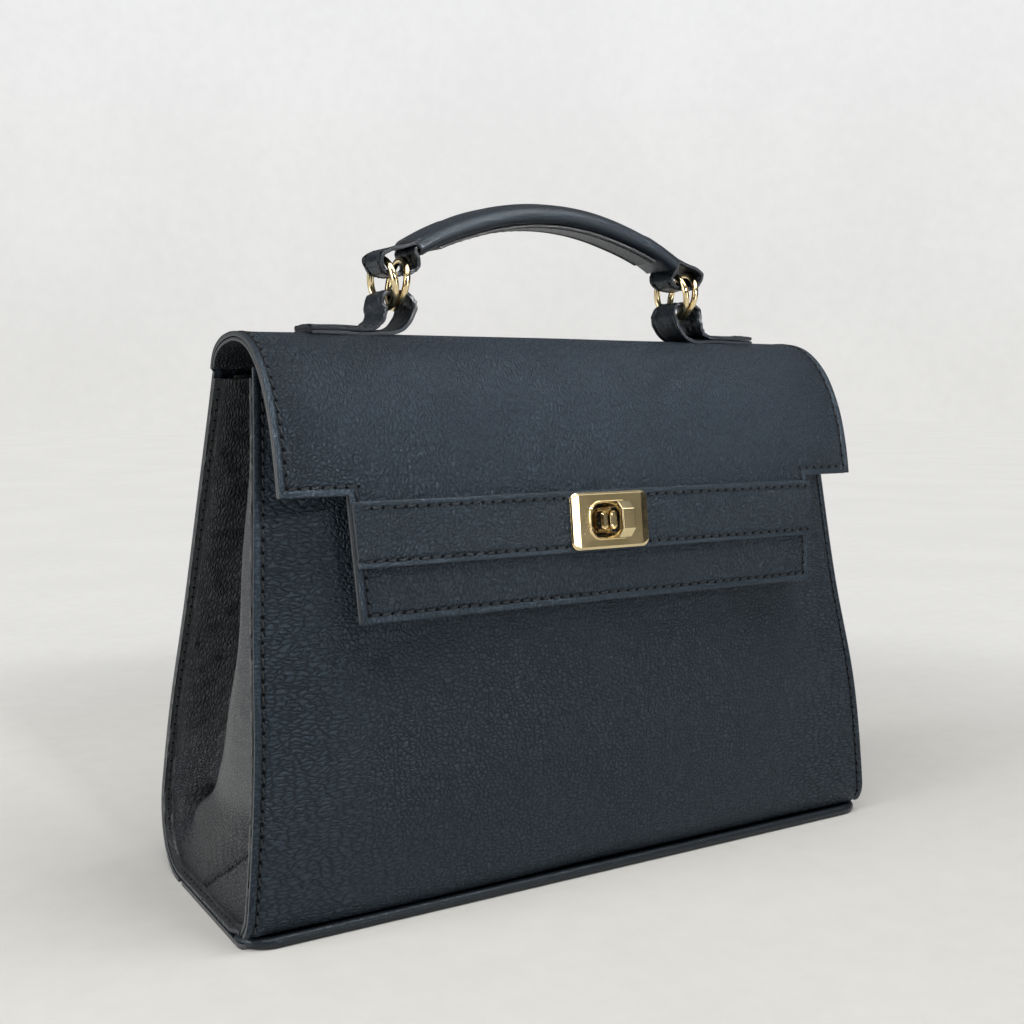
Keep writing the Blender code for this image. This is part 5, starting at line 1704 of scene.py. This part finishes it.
def grip_line(share):
    """The grip's arc: places, and how far each is turned from level."""
    half = GRIP_SPAN / 2
    radius = (half**2 + GRIP_ARCH**2) / (2 * GRIP_ARCH)
    angle = np.asarray(share) * math.asin(half / radius)
    top = CROWN_HEIGHT + GRIP_BELOW_CROWN_TOP - GRIP_THICKNESS
    return np.stack([radius * np.sin(angle), top - radius * (1 - np.cos(angle))], -1), angle


def grip_inside(tuck, rise):
    """A place inside the grip's end, so far in and so high over its line."""
    middle, angle = grip_line(1 - 2 * tuck / GRIP_SPAN)
    return middle[0] + math.sin(angle) * rise, middle[1] + math.cos(angle) * rise


print("handle", HANDLE_SPAN / MM, "mm between its rings,", round(RING_Z / MM, 1), "mm up")


# %% Paths of the straps
TAB_BENDS = ((0.8, 0), (0.1, 0.07), (-0.60, 0.26), (-1.02, 0.50), (-1.10, 0.72), (-0.94, 0.90),
             (-0.55, 0.99), (0, 1), (0.55, 0.99), (0.98, 0.89), (1.12, 0.70), (1.02, 0.50),
             (1.10, 0.33))
LOOP_BENDS = ((1.14, 0.70), (1.06, 0.34), (0.82, 0.07), (0.55, 0), (-0.55, 0), (-1.05, 0.10),
              (-1.35, 0.34))


def tab_path():
    """Along the crown, up round the inside of the rings and back down over itself."""
    half = STRAP_LEATHER / 2
    low = CROWN_HEIGHT + GAP + half
    layer = STRAP_LEATHER + GAP
    top = RING_Z - LOOP_PITCH - half
    middle, bend, rise = HANDLE_SPAN / 2, LOOP_HALF_WIDTH, top - low
    tail = low + layer
    points = [(middle + share * TAB_LENGTH, low) for share in (1, 0.66, 0.33)]
    points += [(middle + out * bend, low + up * rise) for out, up in TAB_BENDS]
    points += [(middle + out * bend, tail + up * rise) for out, up in ((1.42, 0.10), (2, 0.01))]
    points += [(middle + share * TAB_LENGTH, tail) for share in (0.50, 0.75, 1)]
    path = smooth_path(points, 150)
    path[:, 1] = np.maximum(path[:, 1], low)
    return path, top


def loop_path():
    """Out of the grip's end, down through the rings and back in under itself."""
    half = STRAP_LEATHER / 2
    low = GRIP_END_LOW + GRIP_SHELL + 3 * GAP + half
    high = low + STRAP_LEATHER + GAP
    bottom = RING_Z + LOOP_PITCH + half
    over = RING_Z + ROUND_RADIUS + ROUND_WIRE + GAP + half
    middle, bend, span = HANDLE_SPAN / 2, LOOP_HALF_WIDTH, over - bottom
    points = [grip_inside(tuck, high) for tuck in (GRIP_TUCK, GRIP_TUCK / 2, GRIP_TUCK / 4)]
    points += [(middle - 0.15 * bend, over + 1.3 * MM), (middle + 0.55 * bend, over + 0.2 * MM)]
    points += [(middle + out * bend, bottom + up * span) for out, up in LOOP_BENDS]
    points += [grip_inside(tuck, low) for tuck in (-GRIP_TUCK / 9, GRIP_TUCK / 4, GRIP_TUCK / 2,
                                                   GRIP_TUCK)]
    return smooth_path(points, 120), bottom


print("tab strap", round(travelled_along(tab_path()[0])[-1] / MM), "mm long")


# %% [markdown]
# ## Tabs and loops
# Each strap is a narrow sheet of fine leather bent along its path, sewn near both edges,
# creased where it bends and pinched where it passes through the rings. A plane with a curve
# modifier would give the bend, but not the pinch or the creases. Here the path's own turning
# tells where the leather is bent, and the crumpling is added only there.

# %% Tabs and loops
STRAP_SEAM = 2.1 * MM
SEAM_SHARE = 0.766


def strap_sheet(name, side, path, z_pinch, on_crown, body, node, seed):
    """A strap along a path, its edges sewn, its bends creased, lying on the crown if it is."""
    path = path * (side, 1)
    widths = strap_widths(path, z_pinch)
    along = unit(np.gradient(path, axis=0))
    out = np.stack([-along[:, 1], along[:, 0]], -1) * side
    face = path + out * STRAP_LEATHER / 2
    turning = np.abs(np.gradient(np.unwrap(np.arctan2(along[:, 1], along[:, 0]))))
    turning = np.convolve(turning, np.ones(9) / 9, "same")
    rim = [-1.0, -0.92, -0.84, -0.79, -SEAM_SHARE, -0.74, -0.69]
    t = np.array(rim + list(np.linspace(-0.60, 0.60, 11)) + [-r for r in rim[::-1]]) * side
    t = t[::-1]
    y = HANDLE_Y + widths[:, None] * t[None, :]
    points = np.stack(np.broadcast_arrays(face[:, :1], y, face[:, 1:]), -1)
    travelled = travelled_along(path)
    if on_crown:
        lying = 1 - fade(path[:, 1] - CROWN_HEIGHT, 0.0025, 0.0085)
        points[..., 2] -= lying[:, None] * crown_drop(y)
    inset = widths[:, None] - np.abs(y - HANDLE_Y)
    relief = groove(inset - STRAP_SEAM, 0.22 * MM, 0.6 * MM)
    bent = fade(turning, 0.03, 0.12)[:, None]
    crumple = ridges(uneven(travelled[:, None], y / 1.5, 0.0021, seed))
    relief += (0.42 if on_crown else 0.20) * MM * bent * crumple
    relief += 0.30 * MM * uneven(travelled[:, None], y, 0.010, seed + 1)
    marks = {"drawn": 0.0, "pressed": 1 - fade(inset, 1.4 * MM, 3.0 * MM)}
    grain = pair(y - HANDLE_Y, travelled[:, None] + 0.1 * seed)
    made = sheet(name, points, grain, STRAP_LEATHER, fine_leather, relief, marks,
                 rim_round=0.35 * MM, rim=strap_edge, even=False)
    finish_piece(made, body, "shell_leather", node)
    seams = [np.argmin(np.abs(t - sign * side * SEAM_SHARE)) for sign in (1, -1)]
    normal = grid_normals(points)
    return [(points[:, c], normal[:, c]) for c in seams], travelled


tab_runs, loop_runs = [], []
path, pinch = tab_path()
for name, side, seed in (("left_handle_tab", -1, 61), ("right_handle_tab", 1, 63)):
    found, travelled = strap_sheet(name + "_leather", side, path, pinch, True, "flap", name, seed)
    tail = travelled > travelled[-1] - 0.030
    tab_runs += [(line[tail], out[tail]) for line, out in found]
    line = np.stack([np.full(20, side * (HANDLE_SPAN / 2 + TAB_LENGTH - STRAP_SEAM)),
                     HANDLE_Y + np.linspace(-6.6, 6.6, 20) * MM, np.zeros(20)], -1)
    line[:, 2] = found[0][0][-1][2] + crown_drop(found[0][0][-1][1]) - crown_drop(line[:, 1])
    tab_runs.append(facing(line, (0.0, 0.0, 1.0)))
path, pinch = loop_path()
for name, side, seed in (("left_grip_loop", -1, 65), ("right_grip_loop", 1, 67)):
    found, travelled = strap_sheet(name + "_leather", side, path, pinch, False, "handle", name,
                                   seed)
    shown = (travelled > 0.014) & (travelled < travelled[-1] - 0.012)
    loop_runs += [(line[shown], out[shown]) for line, out in found]
for name, runs, body in (("tab_stitches", tab_runs, "flap"),
                         ("loop_stitches", loop_runs, "handle")):
    stitches(name, runs, body, 3.6 * MM, 2.7 * MM, 0.26 * MM)
print("straps sewn in", len(tab_runs) + len(loop_runs), "runs")

# %% [markdown]
# ## Rings
# Two round wire rings stand at each end of the handle and lean apart, as they hang loose in
# their straps. A torus from the Add menu would be too even. This one is swept, which
# lets it lean, and gives it the slight swelling where the ends of the wire were brazed.

# %% Rings
RING_SPACING, RING_SHIFT = 0.0056, 0.30 * MM
RING_LEAN, LEAN_TURN = math.radians(10.0), math.radians(-25)
BRAZED_AT = 4.0


def ring(name, centre, lean):
    """A round wire ring, its ends brazed so finely that only a slight swelling shows."""
    around, section = 96, 20
    a = np.arange(around) / around * 2 * math.pi
    b = np.arange(section) / section * 2 * math.pi
    wire = ROUND_WIRE * (1 + 0.05 * np.exp(-((a - BRAZED_AT) / 0.05)**2))
    radius = ROUND_RADIUS + wire[:, None] * np.cos(b)[None, :]
    x = wire[:, None] * np.sin(b)[None, :]
    y, z = radius * np.cos(a)[:, None], radius * np.sin(a)[:, None]
    x, z = x * math.cos(lean) + z * math.sin(lean), z * math.cos(lean) - x * math.sin(lean)
    cos, sin = math.cos(LEAN_TURN), math.sin(LEAN_TURN)
    points = np.stack([x, y * cos - z * sin, y * sin + z * cos], -1)
    quads = grid_faces(around, section, True, True)[:, :, ::-1]
    made = new_object(name + "_metal", points.reshape(-1, 3) + centre, quads.reshape(-1, 4),
                      [gold])
    made.data.shade_smooth()
    finish_piece(made, name, "gold_metal", name)


for side, names in ((-1, ("left_outer_ring", "left_inner_ring")),
                    (1, ("right_outer_ring", "right_inner_ring"))):
    for name, shift in zip(names, (1, -1)):
        centre = (side * (HANDLE_SPAN / 2 + shift * (RING_SPACING / 2 + RING_SHIFT)), HANDLE_Y,
                  RING_Z)
        ring(name, centre, side * shift * RING_LEAN)
print("rings", round(2 * ROUND_RADIUS / MM, 1), "mm across the wire's middle")

# %% [markdown]
# ## The section of the grip
# The grip is a leather cover stuffed with cord: flat below, domed above, and squarer at its
# ends, where sleeves hold the loops. A bent cylinder could be flattened by hand. One half
# section, stretched to the width and height at each station along the arc, keeps both ends
# alike and lets the filling use the same shape a little smaller.

# %% Section of the grip
END_SLEEVE, END_FALL = 0.016, 0.030
GRIP_LOW, GRIP_HIGH = 0.0026, 0.0110
GRIP_ROUND = 0.0222


def dome(width, thickness, count):
    """Half section of the grip over its flat underside, from one lower corner to the other."""
    a = np.linspace(0, math.pi, count)
    across = -np.cos(a) * width / 2
    up = 0.18 * thickness + 0.82 * thickness * np.sin(a)**0.8
    lower = width / 2 * 0.82
    return (np.concatenate(([-lower], across, [lower])), np.concatenate(([0.0], up, [0.0])))


def grip_points(shares, across, up):
    """Points across the grip at each station, so high over its line."""
    middle, angle = grip_line(shares)
    points = np.empty((len(shares), across.shape[-1], 3))
    points[..., 0] = middle[:, :1] + np.sin(angle)[:, None] * up
    points[..., 1] = HANDLE_Y + across
    points[..., 2] = middle[:, 1:] + np.cos(angle)[:, None] * up
    return points


def grip_section(shares, inset=0.0, count=47):
    """The grip's section at each station: flatter and squarer in the sleeves at its ends."""
    from_end = (1 - np.abs(shares))[:, None] * GRIP_SPAN / 2
    sleeve = 1 - fade(from_end, END_SLEEVE - 0.8 * MM, END_SLEEVE + 0.8 * MM)
    toward_end = 1 - fade(from_end, 0.0, END_FALL)
    low = GRIP_LOW + (GRIP_END_LOW - GRIP_LOW) * toward_end + inset
    high = GRIP_HIGH + (GRIP_END_HIGH - GRIP_HIGH) * toward_end - inset + 0.25 * MM * sleeve
    unit_across, unit_up = dome(2.0, 1.0, count)
    width = GRIP_ROUND / 2 - inset + 0.35 * MM * sleeve
    return unit_across[None, :] * width, low + unit_up[None, :] * (high - low), sleeve


print("grip", GRIP_ROUND / MM, "mm wide")


# %% [markdown]
# ## The padded grip
# The cover swells between its two sewn edges, and the thread pulls a groove along each side. It
# could be inflated by a cloth simulation with pressure. A dome with a groove beside each seam
# looks the same at this size and never changes.

# %% Grip cover
shares = np.linspace(-1, 1, 150)
across, up, _ = grip_section(shares)
points = grip_points(shares, across, up)
unit_up = dome(2.0, 1.0, across.shape[1] - 2)[1]
height_share = np.broadcast_to(unit_up, across.shape)
seam_low = np.abs(height_share - 0.20) * (GRIP_HIGH - GRIP_LOW)
relief = groove(seam_low, 0.30 * MM, 0.7 * MM) * fade(np.abs(across), 0.008, 0.0100)
relief += 0.14 * MM * uneven(shares[:, None] * 0.06, across, 0.009, 71)
relief = np.minimum(relief, 0.25 * MM)
along = shares[:, None] * GRIP_SPAN / 2
middle = len(shares) // 2
girth = travelled_along(np.stack([across[middle], up[middle]], -1))
grain = pair(girth, along + 0.9)
marks = {"drawn": 0.6 + 0 * across, "pressed": 0.5 * (1 - fade(height_share, 0.2, 0.42))}
grip = sheet("grip_leather", points[:, ::-1], grain[:, ::-1], GRIP_SHELL, fine_leather,
             relief[:, ::-1], {key: value[:, ::-1] for key, value in marks.items()},
             rim_round=0.4 * MM, even=False, closed=True)
finish_piece(grip, "handle", "shell_leather", "grip_cover")
print("grip", len(grip.data.polygons), "faces,", round(girth[-1] / MM), "mm round")

# %% Filling
core_shares = np.linspace(-1, 1, 60) * (1 - 0.013 / GRIP_SPAN * 2)
across, up, _ = grip_section(core_shares, GRIP_SHELL + 2 * GAP, 24)
core = loops_object("grip_filling", grip_points(core_shares, across, up), board, closed=False,
                    soften=0.1 * MM)
finish_piece(core, "handle", "board", "grip_core")
print("filling", len(core.data.polygons), "faces")

# %% [markdown]
# ## Strip under the grip
# A flat strip closes the cover from below, sewn near both edges. It could be part of the cover,
# but its two cut edges are plain to see. It is laid on the grip's own arc, one gap below it.

# %% Strip under the grip
UNDERSIDE_INSET, STRIP_THICKNESS, STRIP_SEAM = 0.0018, 1.2 * MM, 1.8 * MM

strip_half = GRIP_ROUND / 2 - UNDERSIDE_INSET - GRIP_SHELL
strip_shares = np.linspace(-1, 1, 120) * (1 - END_SLEEVE / GRIP_SPAN)
strip_across = lines(-strip_half, strip_half, 1.6 * MM, (-strip_half + STRIP_SEAM,
                                                        strip_half - STRIP_SEAM))


def strip_face(shares):
    """Height of the strip's face under the grip."""
    from_end = (1 - np.abs(shares)) * GRIP_SPAN / 2
    low = GRIP_LOW + (GRIP_END_LOW - GRIP_LOW) * (1 - fade(from_end, 0.0, END_FALL))
    return (low - GAP - STRIP_THICKNESS)[:, None]


across = np.broadcast_to(strip_across, (len(strip_shares), len(strip_across)))
inset = strip_half - np.abs(across)
points = grip_points(strip_shares, across, strip_face(strip_shares) + 0 * across)
relief = groove(inset - STRIP_SEAM, 0.25 * MM, 0.6 * MM)
grain = pair(across, strip_shares[:, None] * GRIP_SPAN / 2 + 1.4)
strip = sheet("grip_underside_leather", points, grain, STRIP_THICKNESS, fine_leather, relief,
              {"drawn": 0.0, "pressed": 1 - fade(inset, 1.2 * MM, 2.6 * MM)},
              rim_round=0.35 * MM)
finish_piece(strip, "handle", "shell_leather", "grip_underside")
line_shares = np.linspace(-0.98, 0.98, 120)
grip_runs = []
for sign in (-1, 1):
    shares = line_shares * (1 - END_SLEEVE / GRIP_SPAN)
    at = np.full((len(shares), 1), sign * (strip_half - STRIP_SEAM))
    line = grip_points(shares, at, strip_face(shares))[:, 0]
    grip_runs.append(facing(line, (0.0, 0.0, -1.0)))
stitches("grip_stitches", grip_runs, "handle", 3.8 * MM, 2.8 * MM, 0.27 * MM)
print("grip done")

# %% [markdown]
# ## Pieces kept from the model
# The boards and the lock's plates behind the leather are plain flat parts, hardly seen. They
# could be made again like the rest, but the model's own solids already have their shape, so
# those stay and only take the finished materials.

# %% Kept pieces
KEPT = {board: ("base_board", "front_stiffener", "back_stiffener"),
        gold: ("lock_base", "lock_washer", "lock_back_plate")}
for finish, names in KEPT.items():
    for name in names:
        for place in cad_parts[name].material_slots:
            place.material = finish
    print("kept in", finish.name + ":", *names)

# %% [markdown]
# ## Floor
# The bag stands on pale paper that runs up into a pale wall. A curved sheet, as in a studio,
# would do, but its bend shows in other views. Here the floor is one flat sheet that turns into
# the wall's own colour further out. That glow is seen but adds no light, and near the bag the
# floor stays a true surface that takes its shadow.

# %% Floor
WALL_LOW_TONE, WALL_HIGH_TONE = (0.775, 0.770, 0.752), (0.860, 0.862, 0.866)
FLOOR = (0.76, 0.75, 0.715)


def mottle(nodes, place, scale):
    """Faint fibres and clouds of a pale papered surface, about one."""
    fibre = noise(nodes, place, scale, 6.0, 0.62)
    cloud = noise(nodes, place, scale / 14, 3.0)
    share = nodes.math("MULTIPLY_ADD", cloud, 0.5, nodes.math("MULTIPLY", fibre, 0.5))
    return nodes.ramp(share, 0.30, 0.70, 0.965, 1.025), fibre


def tinted(nodes, colour, factor):
    """A colour times a number."""
    return nodes.add("ShaderNodeVectorMath", {"operation": "SCALE"}, Vector=colour,
                     Scale=factor).outputs[0]


def between(nodes, share, first, second):
    """Two shaders mixed."""
    mixed = nodes.add("ShaderNodeMixShader")
    for socket, value in zip(mixed.inputs, (share, first, second)):
        nodes.put(socket, value)
    return mixed


floor_mesh = bpy.data.meshes.new("floor")
floor_mesh.from_pydata([(-6, -6, 0), (6, -6, 0), (6, 6, 0), (-6, 6, 0)], [], [(0, 1, 2, 3)])
floor = in_scene("floor", floor_mesh)
stuff, nodes, shader = material("floor")
place = in_space(nodes)
tone, fibre = mottle(nodes, place, 70.0)
nodes.set(shader, Base_Color=tinted(nodes, FLOOR, tone), Roughness=0.85,
          Normal=nodes.bump(fibre, 0.4 * MM, 0.5), Specular_IOR_Level=0.2)
distance = nodes.add("ShaderNodeVectorMath", {"operation": "LENGTH"}, Vector=place)
far = nodes.add("ShaderNodeEmission", Color=tinted(nodes, WALL_LOW_TONE, tone), Strength=1.0)
rays = nodes.add("ShaderNodeLightPath").outputs
shown = nodes.math("MAXIMUM", rays["Is Camera Ray"], rays["Is Glossy Ray"])
share = nodes.math("MULTIPLY", nodes.ramp(distance.outputs["Value"], 0.24, 0.62), shown)
blended = between(nodes, share, shader, far)
for node in stuff.node_tree.nodes:
    if node.type == "OUTPUT_MATERIAL":
        nodes.put(node.inputs["Surface"], blended)
floor_mesh.materials.append(stuff)
print("floor", *floor.dimensions, "m")

# %% [markdown]
# ## Lamps
# Soft panels light the bag from above and from the left, and a narrow one lifts the flap a
# little. A sun lamp would give hard shadows. Two cards stand where the lock's bevel and its
# face mirror them: metal needs both something bright and something dim to reflect.


# %% Lamps
def panel_light(name, place, aim, width, height, power, colour=(1, 1, 1), spread=180):
    """A soft panel of light, aimed at a point."""
    data = bpy.data.lights.new(name, "AREA")
    data.shape = "RECTANGLE"
    data.size, data.size_y = width, height
    data.energy = power
    data.color = colour
    data.spread = math.radians(spread)
    made = in_scene(name, data)
    made.location = place
    made.rotation_euler = (Vector(aim) - Vector(place)).to_track_quat("-Z", "Y").to_euler()


panel_light("top_light", (0.30, -0.42, 1.08), (0, 0, 0.12), 0.80, 0.65, 6.3, (1.0, 0.99, 0.97))
panel_light("top_left_light", (-0.45, -0.30, 1.10), (0, 0, 0.12), 0.70, 0.60, 3.8,
            (1.0, 0.99, 0.97))
panel_light("left_light", (-1.25, 0.0, 0.50), (0, 0, 0.12), 0.6, 0.7, 8.0, (1.0, 0.985, 0.96))
panel_light("flap_light", (0.05, -0.95, 0.62), (0.01, -0.05, 0.225), 0.28, 0.12, 0.22,
            (1.0, 0.99, 0.97), spread=15)
panel_light("front_card", (0.40, -1.30, 0.29), (0, 0, 0.15), 0.22, 0.46, 2.0, (1.0, 0.98, 0.94))
panel_light("dim_card", (0.90, -1.30, 0.30), (0, 0, 0.15), 0.50, 0.50, 0.12, (1.0, 0.97, 0.82))
print("lamps", sorted(light.name for light in bpy.data.lights))

# %% [markdown]
# ## The room
# What the bag reflects beside the lamps is the room, dim at eye level and brighter towards its
# ceiling. A photograph of a room could be wrapped round the scene. Two backgrounds, one for the
# camera and one for light, need no picture, and let the wall's tone be set by itself.

# %% Room
world = bpy.data.worlds.new("room")
scene.world = world
world.use_nodes = True
nodes = Nodes(world.node_tree)
world.node_tree.nodes.clear()
direction = nodes.add("ShaderNodeTexCoord").outputs["Generated"]
parts = nodes.add("ShaderNodeSeparateXYZ", Vector=direction)
up = nodes.ramp(parts.outputs["Z"], 0.05, 0.85)
strength = nodes.math("MULTIPLY_ADD", up, 0.26, 0.035)
room = nodes.add("ShaderNodeBackground", Color=(0.93, 0.96, 1.0, 1.0), Strength=strength)
tone, fibre = mottle(nodes, direction, 110.0)
height = nodes.ramp(parts.outputs["Z"], -0.02, 0.34)
tone = tinted(nodes, nodes.mix(height, WALL_LOW_TONE, WALL_HIGH_TONE), tone)
seen = nodes.add("ShaderNodeBackground", Color=tone, Strength=1.0)
by_camera = nodes.add("ShaderNodeLightPath").outputs["Is Camera Ray"]
nodes.add("ShaderNodeOutputWorld", Surface=between(nodes, by_camera, room, seen))
print("room", world.name)

# %% [markdown]
